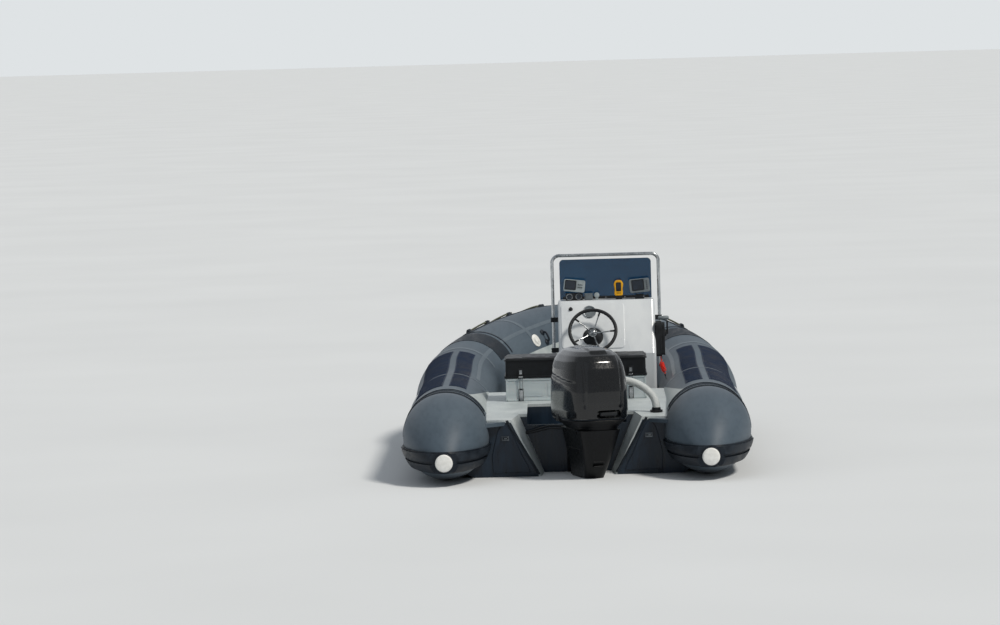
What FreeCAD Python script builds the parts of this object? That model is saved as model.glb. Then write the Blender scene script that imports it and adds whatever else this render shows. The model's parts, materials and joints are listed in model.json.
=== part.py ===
import FreeCAD, Part
import math
import os
import re
import Sketcher
from FreeCAD import Placement, Rotation, Vector

# Frame: origin on the centreline at the waterline, under the aft faces of the stern pods.
# X points to starboard, Y forward and Z up. Lengths are in millimetres and angles in degrees.
document = FreeCAD.newDocument("inflatable_boat")
sheet = document.addObject("Spreadsheet::Sheet", "Size")

sizes = {
    # inflated collar: straight stern run, rise towards the bow, shoulder bend, bow bend
    "tube_radius": 300,
    "tube_spread": 913,
    "tube_height": 300,
    "tube_straight": 2000,
    "rise_radius": 4000,
    "rise_angle": 8,
    "shoulder_radius": 3200,
    "shoulder_angle": 35,
    "cone_length": 600,
    "cone_tip_radius": 66,
    "cone_tip_height": 168,
    "cap_radius": 60,
    "cap_length": 34,
    "gap": 0.3,
    # rub strake round the collar
    "strake_centre": -26,
    "strake_half_angle": 14.5,
    "strake_thick": 12,
    "ridge_half_angle": 4.6,
    "ridge_offset": 7.4,
    "ridge_thick": 11,
    "strake_height": 150,
    "ridge_height": 54,
    "ridge_spread": 38,
    # rubber patches and bands on the tubes
    "patch_thick": 3,
    "patch_inner": 116,
    "patch_outer": 40,
    "strip_inner": 92,
    "strip_outer": 83,
    "band_low": 0,
    "band_high": 155,
    "oval_place": 1330,
    "oval_angle": 25,
    "oval_long": 105,
    "oval_tall": 65,
    "valve_place": 4120,
    "valve_angle": 150,
    "valve_radius": 52,
    "valve_thick": 16,
    "anchor_angle": 66,
    "anchor_half_angle": 9,
    "anchor_length": 120,
    "anchor_thick": 6,
    "loop_length": 44,
    "loop_half_angle": 4,
    "loop_thick": 24,
    "lifeline_radius": 7,
    "lifeline_droop": 20,
    "lifeline_first": 3700,
    "lifeline_step": 330,
    # hull
    "pod_length": 280,
    "keel_depth": 290,
    "notch_top_half": 505,
    "notch_low_half": 250,
    "notch_low_height": -20,
    "notch_flare_top": 62,
    "notch_flare_low": 24,
    "flank_thick": 12,
    "transom_thick": 50,
    "transom_height": 335,
    "well_half": 350,
    "well_length": 470,
    "well_floor": 215,
    "deck_aft_height": 400,
    "deck_height": 445,
    "deck_slope_end": 900,
    "deck_end": 1850,
    "deck_thick": 20,
    "sole_height": 230,
    "sole_thick": 25,
    "bow_step": 3300,
    "bow_deck_height": 550,
    "bow_deck_thick": 25,
    "hatch_width": 360,
    "hatch_length": 300,
    "hatch_start": 3460,
    "hatch_thick": 16,
    "hatch_rim": 20,
    "hatch_clearance": 4,
    "hatch_barrel": 60,
    "hatch_barrel_spread": 105,
    "locker_depth": 210,
    "eye_radius": 9,
    "eye_plate": 30,
    "eye_thick": 8,
    "eye_height": 272,
    "eye_spread": 500,
    "eye_stand": 38,
    "eye_base": 50,
    "bow_eye_place": 4215,
    # locker seat
    "seat_width": 1010,
    "seat_depth": 420,
    "seat_start": 1000,
    "seat_box_height": 165,
    "seat_wall": 12,
    "lid_height": 145,
    "lid_wall": 22,
    "lid_gap": 1,
    "latch_spread": 396,
    "latch_width": 34,
    "latch_height": 76,
    "latch_lap": 12,
    "latch_thick": 8,
    "hinge_radius": 7,
    "hinge_length": 120,
    "hinge_spread": 330,
    # console
    "console_centre": 240,
    "console_width": 725,
    "console_start": 2150,
    "console_knee": 2100,
    "console_knee_height": 690,
    "console_dash_top": 2330,
    "console_height": 1078,
    "console_back": 2620,
    "console_foot_back": 2690,
    "console_round": 28,
    "screen_width": 690,
    "screen_height": 300,
    "screen_thick": 6,
    "screen_start": 2540,
    "screen_round": 30,
    "rail_spread": 800,
    "rail_radius": 12.5,
    "rail_height": 1412,
    "rail_foot": 560,
    "rail_bend": 55,
    "rail_place": 2490,
    "bracket_upper": 930,
    "bracket_lower": 700,
    "bracket_size": 30,
    # helm
    "wheel_centre": 134,
    "wheel_radius": 172,
    "rim_radius": 13.5,
    "wheel_lean": 31,
    "wheel_height": 868,
    "wheel_reach": 110,
    "hub_radius": 32,
    "hub_length": 34,
    "spoke_radius": 7,
    "spoke_count": 5,
    "bezel_radius": 78,
    "bezel_length": 46,
    "shaft_radius": 12,
    "throttle_start": 2170,
    "throttle_length": 120,
    "throttle_low": 655,
    "throttle_high": 920,
    "throttle_thick": 74,
    "throttle_rake": 20,
    "grip_radius": 15,
    "arm_radius": 11,
    # engine
    "steer_axis": 130,
    "steer_rest": 18,
    "tilt_axis": 215,
    "tilt_height": 352,
    "clamp_spread": 66,
    "clamp_thick": 16,
    "swivel_radius": 34,
    "swivel_low": -60,
    "swivel_high": 290,
    "swivel_width": 100,
    "tilt_boss": 22,
    "tilt_tube_radius": 13,
    "yoke_radius": 38,
    "yoke_thick": 44,
    "cowl_half_width": 225,
    "cowl_front": 182,
    "cowl_back": 500,
    "cowl_low": 425,
    "cowl_top": 905,
    "pan_low": 345,
    "leg_half_width": 148,
    "leg_front": 84,
    "leg_back": 446,
    "plate_height": -290,
    "propeller_height": -490,
    "propeller_radius": 168,
    "blade_count": 3,
    "skeg_low": -765,
    # rigging
    "hose_radius": 27,
    "cable_radius": 7,
    "hose_place": 560,
    "hose_station": 215,
    "flange_thick": 14,
    "kill_cord_radius": 12,
}
for row, (alias, value) in enumerate(sizes.items(), 1):
    sheet.set(f"A{row}", alias)
    sheet.set(f"B{row}", str(value))
    sheet.setAlias(f"B{row}", alias)
document.recompute()


def bound(text):
    # an expression in plain size names becomes one in the sheet's cells
    def cell_of(word):
        name = word.group()
        return "Size." + name if name in sizes else name
    return re.sub(r"[a-z_]+", cell_of, str(text))


def size(text):
    return float(sheet.evalExpression(bound(text)))


def bind(thing, target, text):
    thing.setExpression(target, bound(text))


def labelled(kind, label):
    thing = document.addObject(kind, re.sub(r"\W", "_", label))
    thing.Label = label
    return thing


def feature(label, shape):
    thing = labelled("Part::Feature", label)
    thing.Shape = shape
    return thing


def outline(body, plane, points, offset="0"):
    # a closed outline of straight lines whose corners are bound to the sheet
    drawing = body.newObject("Sketcher::SketchObject", body.Name + "_outline")
    support = next(item for item in body.Origin.OriginFeatures if item.Role == plane)
    drawing.AttachmentSupport = (support, [""])
    drawing.MapMode = "FlatFace"
    bind(drawing, "AttachmentOffset.Base.z", offset)
    corners = [Vector(size(x), size(y), 0) for x, y in points]
    count = len(corners)
    for index, corner in enumerate(corners):
        drawing.addGeometry(Part.LineSegment(corner, corners[(index + 1) % count]))
    for index in range(count):
        drawing.addConstraint(Sketcher.Constraint("Coincident", index, 2, (index + 1) % count, 1))
    for index, (x, y) in enumerate(points):
        for direction, text in (("DistanceX", x), ("DistanceY", y)):
            number = drawing.addConstraint(Sketcher.Constraint(direction, -1, 1, index, 1, size(text)))
            bind(drawing, f"Constraints[{number}]", text)
    return drawing


def extrusion(label, plane, points, start, end):
    # the outline, padded from start to end along the plane's world axis
    body = labelled("PartDesign::Body", label)
    backwards = plane == "XZ_Plane"
    offset = f"-({end})" if backwards else start
    drawing = outline(body, plane, points, offset)
    pad = body.newObject("PartDesign::Pad", label + "_pad")
    pad.Profile = drawing
    bind(pad, "Length", f"({end}) - ({start})")
    body.Tip = pad
    document.recompute()
    return body


def revolution(label, points):
    # the outline turned about its own upright axis
    body = labelled("PartDesign::Body", label)
    drawing = outline(body, "XZ_Plane", points)
    turn = body.newObject("PartDesign::Revolution", label + "_turn")
    turn.Profile = drawing
    turn.ReferenceAxis = (drawing, ["V_Axis"])
    turn.Angle = 360
    body.Tip = turn
    document.recompute()
    return body


def rounded(body, radius, chosen):
    # a fillet on the edges that the test picks
    tip = body.Tip
    names = [f"Edge{number}" for number, edge in enumerate(tip.Shape.Edges, 1) if chosen(edge)]
    fillet = body.newObject("PartDesign::Fillet", body.Name + "_round")
    fillet.Base = (tip, names)
    bind(fillet, "Radius", radius)
    body.Tip = fillet
    document.recompute()
    return body


def along(axis):
    def chosen(edge):
        if not isinstance(edge.Curve, Part.Line):
            return False
        direction = edge.Vertexes[1].Point - edge.Vertexes[0].Point
        return abs(direction.normalize().dot(axis)) > 0.999
    return chosen


def combined(kind, label, first, *others):
    # a boolean of pieces that stay in the document as its history
    if kind == "Part::Cut":
        tool = others[0] if len(others) == 1 else combined("Part::MultiFuse", label + "_tools", *others)
        result = labelled(kind, label)
        result.Base = first
        result.Tool = tool
    else:
        result = labelled(kind, label)
        result.Shapes = [first, *others]
    document.recompute()
    return result


def block(label, x, y, z, across, deep, high):
    # a box by its centre in X and its low corner in Y and Z
    box = labelled("Part::Box", label)
    bind(box, "Length", across)
    bind(box, "Width", deep)
    bind(box, "Height", high)
    bind(box, "Placement.Base.x", f"{x} - ({across}) / 2")
    bind(box, "Placement.Base.y", y)
    bind(box, "Placement.Base.z", z)
    document.recompute()
    return box


def rod(label, start, end, radius):
    # a round bar between two points given as size names
    first = Vector(*[size(text) for text in start])
    last = Vector(*[size(text) for text in end])
    bar = labelled("Part::Cylinder", label)
    bind(bar, "Radius", radius)
    bar.Height = (last - first).Length
    bar.Placement = Placement(first, Rotation(Vector(0, 0, 1), last - first))
    document.recompute()
    return bar


def mirrored(label, source):
    copy = labelled("Part::Mirroring", label)
    copy.Source = source
    copy.Base = Vector(0, 0, 0)
    copy.Normal = Vector(1, 0, 0)
    document.recompute()
    return copy


def solid_of(shapes):
    result = shapes[0]
    if len(shapes) > 1:
        result = shapes[0].multiFuse(shapes[1:]).removeSplitter()
    if result.Volume < 0:
        result.reverse()
    return result


# The collar's axis on the starboard side: runs and bends, each with the frame at its start.
def turned_frame(frame, centre, axis, degrees):
    spin = Rotation(axis, degrees)
    point, *directions = frame
    return (centre + spin.multVec(point - centre), *[spin.multVec(item) for item in directions])


bow_radius = (size("tube_spread") - size("shoulder_radius * (1 - cos(shoulder_angle))")) / size("cos(shoulder_angle)")
axis_rows = [
    # kind of piece, its radius, its turn
    ("run", 0, 0),
    ("rise", size("rise_radius"), size("rise_angle")),
    ("inward", size("shoulder_radius"), size("shoulder_angle")),
    ("inward", bow_radius, 90 - size("shoulder_angle")),
]
collar = []
frame = (Vector(size("tube_spread"), 0, size("tube_height")), Vector(0, 1, 0), Vector(1, 0, 0), Vector(0, 0, 1))
for kind, radius, turn in axis_rows:
    point, forward, outward, upward = frame
    centre = point + upward * radius if kind == "rise" else point - outward * radius
    axis = outward if kind == "rise" else upward
    length = size("tube_straight") if kind == "run" else radius * math.radians(turn)
    collar.append({"frame": frame, "centre": centre, "axis": axis, "length": length, "turn": turn})
    if kind == "run":
        frame = (point + forward * length, forward, outward, upward)
    else:
        frame = turned_frame(frame, centre, axis, turn)
collar_length = sum(piece["length"] for piece in collar)
shoulder_start = collar[0]["length"] + collar[1]["length"]
bow_start = shoulder_start + collar[2]["length"]


def frame_on(piece, distance):
    if not piece["turn"]:
        point, forward, outward, upward = piece["frame"]
        return (point + forward * distance, forward, outward, upward)
    return turned_frame(piece["frame"], piece["centre"], piece["axis"], piece["turn"] * distance / piece["length"])


def collar_frame(distance):
    for piece in collar:
        if distance <= piece["length"] or piece is collar[-1]:
            return frame_on(piece, distance)
        distance -= piece["length"]


def along_collar(section, start, stop):
    # a flat section, X outward and Y up, carried along the collar's axis
    solids = []
    travelled = 0
    for piece in collar:
        first = max(start, travelled)
        last = min(stop, travelled + piece["length"])
        if last - first > size("gap"):
            point, forward, outward, upward = frame_on(piece, first - travelled)
            face = section.copy()
            face.Placement = Placement(point, Rotation(outward, upward, outward.cross(upward), "ZXY"))
            if piece["turn"]:
                turn = piece["turn"] * (last - first) / piece["length"]
                solids.append(face.revolve(piece["centre"], piece["axis"], turn))
            else:
                solids.append(face.extrude(forward * (last - first)))
        travelled += piece["length"]
    for solid in solids:
        if solid.Volume < 0:
            solid.reverse()
    return solid_of(solids)


def disc(radius):
    return Part.Face(Part.Wire(Part.makeCircle(radius)))


def polar(radius, degrees):
    return Vector(radius * math.cos(math.radians(degrees)), radius * math.sin(math.radians(degrees)), 0)


def sector(inner, outer, low, high):
    # a slice of a ring between two radii and two angles, 0 outward and 90 up
    middle = (low + high) / 2
    edges = [
        Part.Arc(polar(outer, low), polar(outer, middle), polar(outer, high)).toShape(),
        Part.makeLine(polar(outer, high), polar(inner, high)),
        Part.Arc(polar(inner, high), polar(inner, middle), polar(inner, low)).toShape(),
        Part.makeLine(polar(inner, low), polar(outer, low)),
    ]
    return Part.Face(Part.Wire(edges))


def port_of(shape):
    return shape.mirror(Vector(0, 0, 0), Vector(1, 0, 0))


tube_radius = size("tube_radius")
seat_radius = tube_radius + size("gap")
side_tube = along_collar(disc(tube_radius), 0, bow_start)
bow_half = along_collar(disc(tube_radius), bow_start, collar_length)
feature("tube_starboard", side_tube)
feature("tube_port", port_of(side_tube))
feature("tube_bow", solid_of([bow_half, port_of(bow_half)]))
clearance_half = along_collar(disc(seat_radius), 0, collar_length)
collar_clearance = solid_of([clearance_half, port_of(clearance_half)])

# Stern cones: round sections from the tube's end to a small tip that hangs lower.
cone_rows = [
    # share of the length, radius, height of the centre
    (0, tube_radius, size("tube_height")),
    (0.33, tube_radius * 0.93, size("tube_height") - 6),
    (0.70, tube_radius * 0.67, size("tube_height") - 48),
    (1, size("cone_tip_radius"), size("cone_tip_height")),
]


def cone_of(growth):
    rings = []
    for share, radius, height in cone_rows:
        place = Vector(size("tube_spread"), -share * (size("cone_length") + growth), height)
        rings.append(Part.Wire(Part.makeCircle(radius + growth, place, Vector(0, -1, 0))))
    return Part.makeLoft(rings, True, False)


cone = cone_of(0)
feature("cone_starboard", cone)
feature("cone_port", port_of(cone))
cone_clearance = cone_of(size("gap"))

cap_points = [
    ("0", "0"), ("cap_radius", "0"), ("cap_radius", "cap_length * 0.55"),
    ("cap_radius * 0.86", "cap_length * 0.85"), ("cap_radius * 0.5", "cap_length * 0.97"), ("0", "cap_length"),
]
cap = revolution("cone_cap_starboard", cap_points)
strake_top = size("strake_thick")
cap.Placement = Placement(
    Vector(size("tube_spread"), -size("cone_length") - strake_top, size("cone_tip_height")),
    Rotation(Vector(1, 0, 0), 90),
)
mirrored("cone_cap_port", cap)

# Rub strake: a flat rubber band with two ridges, along the collar and round the cone.
strake_centre = size("strake_centre")
strake_low = strake_centre - size("strake_half_angle")
strake_high = strake_centre + size("strake_half_angle")
strake_outer = seat_radius + size("strake_thick")
ridge_outer = strake_outer + size("ridge_thick")
ridge_half = size("ridge_half_angle")
strake_pieces = [along_collar(sector(seat_radius, strake_outer, strake_low, strake_high), 0, collar_length)]
for side in (-1, 1):
    middle = strake_centre + side * size("ridge_offset")
    ridge = sector(strake_outer, ridge_outer, middle - ridge_half, middle + ridge_half)
    strake_pieces.append(along_collar(ridge, 0, collar_length))
cone_shell = cone_of(size("strake_thick")).cut(cone_clearance)
slab_low = size("cone_tip_height - strake_height / 2")
reach = size("tube_spread + tube_radius + strake_height")
slab = Part.makeBox(
    2 * reach, 2 * size("cone_length") - size("gap"), size("strake_height"),
    Vector(0, -2 * size("cone_length"), slab_low),
)
cone_band = cone_shell.common(slab)
ridge_shell = cone_of(size("strake_thick + ridge_thick")).cut(cone_of(size("strake_thick")))
cone_ridges = []
for side in (-1, 1):
    middle = size("cone_tip_height") + side * size("ridge_spread")
    tall = size("ridge_height")
    thin_slab = Part.makeBox(
        2 * reach, 2 * size("cone_length") - size("gap"), tall,
        Vector(0, -2 * size("cone_length"), middle - tall / 2),
    )
    tip_box = Part.makeBox(
        4 * size("cap_radius"), size("cone_length"), 2 * size("tube_radius"),
        Vector(size("tube_spread - 2 * cap_radius"), -size("cone_length + strake_thick") - size("cone_length"), 0),
    )
    cone_ridges.append(ridge_shell.common(thin_slab).cut(tip_box))
cone_strake = solid_of([cone_band, *cone_ridges])
tube_strake = solid_of(strake_pieces)
for name, shape in (("rub_strake", tube_strake), ("cone_strake", cone_strake)):
    feature(name + "_starboard", shape)
    feature(name + "_port", port_of(shape))

# Rubber on the tubes: tread patches split by a grey strip, seam bands, valves and ovals.
patch_outer = seat_radius + size("patch_thick")
tread_runs = [
    # start and end along the collar
    (640, 1690),
    (1760, 2900),
]
tread_sectors = [
    ("patch_outer", "strip_outer"),
    ("strip_inner", "patch_inner"),
]
treads = []
for start, stop in tread_runs:
    for low, high in tread_sectors:
        treads.append(along_collar(sector(seat_radius, patch_outer, size(low), size(high)), start, stop))
tread = Part.makeCompound(treads)
feature("tread_starboard", tread)
feature("tread_port", port_of(tread))

band_runs = [
    # start, end, low angle, high angle
    (20, 34, size("band_low"), size("band_high")),
    (60, 74, size("band_low"), size("band_high")),
    (100, 114, size("band_low"), size("band_high")),
    (3300, 3560, 30, 150),
    (3610, 3630, 30, 150),
]
bands = [
    along_collar(sector(seat_radius, patch_outer, low, high), start, stop)
    for start, stop, low, high in band_runs
]
band = Part.makeCompound(bands)
feature("bands_starboard", band)
feature("bands_port", port_of(band))


def oval_patch(distance, degrees, long_half, tall_half, thick):
    # an oval that wraps the tube, cut from a thin sector by an oval bar
    point, forward, outward, upward = collar_frame(distance)
    angle = math.radians(degrees)
    normal = outward * math.cos(angle) + upward * math.sin(angle)
    half_angle = math.degrees(tall_half / tube_radius) * 1.4
    wrap = along_collar(
        sector(seat_radius, seat_radius + thick, degrees - half_angle, degrees + half_angle),
        distance - 1.4 * long_half, distance + 1.4 * long_half,
    )
    ellipse = Part.Ellipse(Vector(0, 0, 0), long_half, tall_half)
    bar = Part.Face(Part.Wire(ellipse.toShape())).extrude(Vector(0, 0, 2 * tube_radius))
    bar.Placement = Placement(point, Rotation(forward, normal.cross(forward), normal, "ZXY"))
    return wrap.common(bar)


oval = oval_patch(size("oval_place"), size("oval_angle"), size("oval_long"), size("oval_tall"), size("patch_thick"))
feature("oval_patch_starboard", oval)
feature("oval_patch_port", port_of(oval))
valve_ring = oval_patch(size("valve_place"), size("valve_angle"), size("valve_radius"), size("valve_radius"),
                        size("patch_thick"))
valve_knob = oval_patch(size("valve_place"), size("valve_angle"), size("valve_radius") / 2,
                        size("valve_radius") / 2, size("valve_thick"))
valve = solid_of([valve_ring, valve_knob])
feature("valve_starboard", valve)
feature("valve_port", port_of(valve))

# Lifeline: rope between rubber anchors along the upper outer side of the collar.
anchor_count = int((collar_length - size("lifeline_first")) / size("lifeline_step")) + 1
anchor_places = [size("lifeline_first") + index * size("lifeline_step") for index in range(anchor_count)]
anchor_angle = size("anchor_angle")
anchors = []
for place in anchor_places:
    half = size("anchor_length") / 2
    pad_angle = size("anchor_half_angle")
    pad_top = seat_radius + size("anchor_thick")
    pad = along_collar(sector(seat_radius, pad_top, anchor_angle - pad_angle, anchor_angle + pad_angle),
                       place - half, min(place + half, collar_length))
    half = size("loop_length") / 2
    loop_angle = size("loop_half_angle")
    loop = along_collar(sector(pad_top, seat_radius + size("loop_thick"), anchor_angle - loop_angle,
                               anchor_angle + loop_angle), place - half, min(place + half, collar_length))
    anchors.append(solid_of([pad, loop]))
anchor_set = Part.makeCompound(anchors)
feature("anchors_starboard", anchor_set)
feature("anchors_port", port_of(anchor_set))


def smooth_tube(points, radius, bends=None):
    # a tube along straight runs joined by tangent arcs
    edges = []
    last = points[0]
    used = 0
    for index in range(1, len(points) - 1):
        before = points[index] - points[index - 1]
        after = points[index + 1] - points[index]
        turn = before.getAngle(after)
        if bends:
            bend = bends[index - 1]
        else:
            bend = 0.45 * min(before.Length, after.Length) / math.tan(turn / 2)
        trim = bend * math.tan(turn / 2)
        start = points[index] - before.normalize() * trim
        stop = points[index] + after.normalize() * trim
        middle_way = (start + stop) * 0.5 - points[index]
        centre = points[index] + middle_way.normalize() * (bend / math.cos(turn / 2))
        middle = centre + (points[index] - centre).normalize() * bend
        edges.append(Part.makeLine(last, start))
        edges.append(Part.Arc(start, middle, stop).toShape())
        last = stop
    edges.append(Part.makeLine(last, points[-1]))
    path = Part.Wire(edges)
    direction = points[1] - points[0]
    ring = Part.Wire(Part.makeCircle(radius, points[0], direction))
    tube = path.makePipeShell([ring], True, False)
    if tube.Volume < 0:
        tube.reverse()
    print(f"tube of {path.Length:.0f} mm, volume share {tube.Volume / (math.pi * radius**2 * path.Length):.4f}")
    return tube


def on_collar(distance, degrees, radius):
    point, forward, outward, upward = collar_frame(distance)
    angle = math.radians(degrees)
    return point + outward * (radius * math.cos(angle)) + upward * (radius * math.sin(angle))


rope_radius = size("lifeline_radius")
rope_reach = seat_radius + size("anchor_thick") + rope_radius + 4
rope_end = size("loop_length") / 2 + 2 * size("gap")
droop = size("lifeline_droop")
ropes = []
for place, following in zip(anchor_places, anchor_places[1:]):
    span = following - place
    stations = [
        # share of the span, share of the droop
        (rope_end / span, 0), (0.16, 0.02), (0.30, 0.6), (0.50, 1), (0.70, 0.6), (0.84, 0.02),
        (1 - rope_end / span, 0),
    ]
    route = [on_collar(place + share * span, anchor_angle - sag * droop, rope_reach) for share, sag in stations]
    ropes.append(smooth_tube(route, rope_radius))
rope_set = Part.makeCompound(ropes)
feature("lifeline_starboard", rope_set)
feature("lifeline_port", port_of(rope_set))

# Hull: a deep V between the tubes, from the pods to the stem.
hull_rows = [
    # station, keel height, chine half breadth, chine height, tube axis half breadth, tube axis height
    (0, -size("keel_depth"), 735, 5, size("tube_spread"), size("tube_height")),
    (1200, -size("keel_depth"), 735, 5, size("tube_spread"), size("tube_height")),
    (2300, -size("keel_depth"), 728, 20, size("tube_spread"), size("tube_height") + 12),
    (3200, -245, 655, 82, 846, 428),
    (3900, -105, 430, 200, 611, 527),
    (4300, 95, 205, 300, 385, 584),
    (4470, 262, 70, 350, 260, 605),
]


def hull_section(station, keel, chine, chine_height, axis_place, axis_height):
    side = [
        (chine, chine_height),
        (axis_place - 60, axis_height - 240),
        (axis_place - 100, axis_height + 230),
    ]
    corners = [(0, keel), *side, *[(-x, z) for x, z in reversed(side)]]
    return Part.makePolygon([Vector(x, station, z) for x, z in [*corners, corners[0]]])


hull_form = Part.makeLoft([hull_section(*row) for row in hull_rows], True, False)
wide = 2 * reach
deck_bottom = -size("deck_thick")
# the room above the decks, seen from the side, cut away between the tubes
above_decks = [
    (0, size("deck_aft_height") + deck_bottom),
    (size("deck_slope_end"), size("deck_height") + deck_bottom),
    (size("deck_end"), size("deck_height") + deck_bottom),
    (size("deck_end"), size("sole_height - sole_thick")),
    (size("bow_step"), size("sole_height - sole_thick")),
    (size("bow_step"), size("bow_deck_height - bow_deck_thick")),
    (6000, size("bow_deck_height - bow_deck_thick")),
    (6000, 2000),
    (0, 2000),
]


def side_prism(points, half):
    wire = Part.makePolygon([Vector(-half, y, z) for y, z in [*points, points[0]]])
    return Part.Face(wire).extrude(Vector(2 * half, 0, 0))


notch_top = size("deck_aft_height") + 100
notch_bend = size("notch_low_height")


def notch_half(station, height):
    # the notch is widest at the pods' aft faces and narrows towards the transom
    share = station / size("pod_length")
    top_half = size("notch_top_half") - share * size("notch_flare_top")
    low_half = size("notch_low_half") - share * size("notch_flare_low")
    rise = max(0, (height - notch_bend) / (notch_top - notch_bend))
    return low_half + rise * (top_half - low_half)


def notch_section(growth, station):
    bottom = -size("keel_depth") - 200
    half = [(notch_half(station, z) + growth, z) for z in (bottom, notch_bend, notch_top)]
    points = [*half, *[(-x, z) for x, z in reversed(half)]]
    return Part.makePolygon([Vector(x, station, z) for x, z in [*points, points[0]]])


def notch_prism(growth, start, stop):
    return Part.makeLoft([notch_section(growth, start), notch_section(growth, stop)], True, True)


pod_length = size("pod_length")
transom_face = pod_length + size("transom_thick")
well = Part.makeBox(
    size("2 * well_half"), size("well_length"), 1000,
    Vector(-size("well_half"), transom_face, size("well_floor")),
)
transom_room = Part.makeBox(
    size("2 * well_half"), size("transom_thick") + 1, 1000,
    Vector(-size("well_half"), pod_length, size("transom_height")),
)
locker_start = size("hatch_start")
anchor_room = Part.makeBox(
    size("hatch_width - 2 * hatch_rim"), size("hatch_length - 2 * hatch_rim"), size("locker_depth") + 200,
    Vector(-size("hatch_width / 2 - hatch_rim"), locker_start + size("hatch_rim"),
           size("bow_deck_height - bow_deck_thick - locker_depth")),
)
notch = notch_prism(0, -10, pod_length)
notch_outer = notch_prism(size("flank_thick"), -10, pod_length)
hull_shape = hull_form.cut(collar_clearance)
for tool in (side_prism(above_decks, wide), notch_outer, well, transom_room, anchor_room):
    hull_shape = hull_shape.cut(tool)
pieces = sorted(hull_shape.Solids, key=lambda item: item.Volume)
feature("hull", pieces[-1])

# Aft deck: one light moulding over the pods and round the motor well, with the notch's lining.
deck_profile = [
    (0, size("deck_aft_height")),
    (size("deck_slope_end"), size("deck_height")),
    (size("deck_end"), size("deck_height")),
    (size("deck_end"), size("deck_height") + deck_bottom),
    (size("deck_slope_end"), size("deck_height") + deck_bottom),
    (0, size("deck_aft_height") + deck_bottom),
]
deck_plate = side_prism(deck_profile, size("tube_spread"))
lining = notch_outer.cut(notch)
lining = lining.common(Part.makeBox(wide, pod_length, 1000, Vector(-reach, 0, -size("keel_depth") + 150)))
lining = lining.cut(side_prism([(-20, size("deck_aft_height") - 1), (1000, size("deck_aft_height") + 45),
                                (1000, 2000), (-20, 2000)], wide))
deck_shape = deck_plate.cut(collar_clearance)
for tool in (notch, well, transom_room):
    deck_shape = deck_shape.cut(tool)
deck_shape = deck_shape.fuse(lining).removeSplitter()
feature("aft_deck", deck_shape)
sole_profile = [
    (size("deck_end"), size("sole_height - sole_thick")),
    (size("bow_step"), size("sole_height - sole_thick")),
    (size("bow_step"), size("sole_height")),
    (size("deck_end"), size("sole_height")),
]
sole_shape = side_prism(sole_profile, size("tube_spread")).cut(collar_clearance)
feature("cockpit_sole", max(sole_shape.Solids, key=lambda item: item.Volume))
bow_profile = [
    (size("bow_step"), size("bow_deck_height - bow_deck_thick")),
    (5000, size("bow_deck_height - bow_deck_thick")),
    (5000, size("bow_deck_height")),
    (size("bow_step"), size("bow_deck_height")),
]
bow_plate = side_prism(bow_profile, size("tube_spread")).cut(collar_clearance)
bow_plate = min(bow_plate.Solids, key=lambda item: abs(item.CenterOfMass.x) + item.CenterOfMass.y)
hatch_seat = Part.makeBox(
    size("hatch_width"), size("hatch_length"), size("hatch_thick") + 10,
    Vector(-size("hatch_width / 2"), locker_start, size("bow_deck_height - hatch_thick")),
)
feature("fore_deck", bow_plate.cut(hatch_seat).cut(anchor_room))

hatch_half = "hatch_width / 2 - hatch_clearance"
hatch_outline = [
    (f"-({hatch_half})", "hatch_start + hatch_clearance"),
    (hatch_half, "hatch_start + hatch_clearance"),
    (hatch_half, "hatch_start + hatch_length - hatch_clearance"),
    (f"-({hatch_half})", "hatch_start + hatch_length - hatch_clearance"),
]
hatch_plate = extrusion("anchor_hatch_plate", "XY_Plane", hatch_outline,
                        "bow_deck_height - hatch_thick + gap", "bow_deck_height")
rounded(hatch_plate, "hatch_clearance * 6", along(Vector(0, 0, 1)))
hatch_hinge_y = "hatch_start + hatch_length - hatch_clearance"
hatch_barrels = []
for side in (-1, 1):
    hatch_barrels.append(rod(
        f"hatch_barrel_{'port' if side < 0 else 'starboard'}",
        (f"{side} * hatch_barrel_spread - hatch_barrel / 2", hatch_hinge_y, "bow_deck_height + 1"),
        (f"{side} * hatch_barrel_spread + hatch_barrel / 2", hatch_hinge_y, "bow_deck_height + 1"),
        "hatch_clearance - gap",
    ))
combined("Part::MultiFuse", "anchor_hatch", hatch_plate, *hatch_barrels)

# Gussets: small fabric wedges from the pods to the cones.
gusset_outline = [
    Vector(size("eye_spread"), 0, 0), Vector(size("tube_spread - tube_radius / 2"), 0, 0),
    Vector(size("tube_spread - tube_radius / 2"), -260, 0),
]
gusset = Part.Face(Part.makePolygon([*gusset_outline, gusset_outline[0]])).extrude(Vector(0, 0, 26))
gusset.translate(Vector(0, -size("gap"), size("deck_aft_height") - 40))
gusset = max(gusset.cut(cone_clearance).Solids, key=lambda item: item.Volume)
feature("gusset_starboard", gusset)
feature("gusset_port", port_of(gusset))

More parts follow.
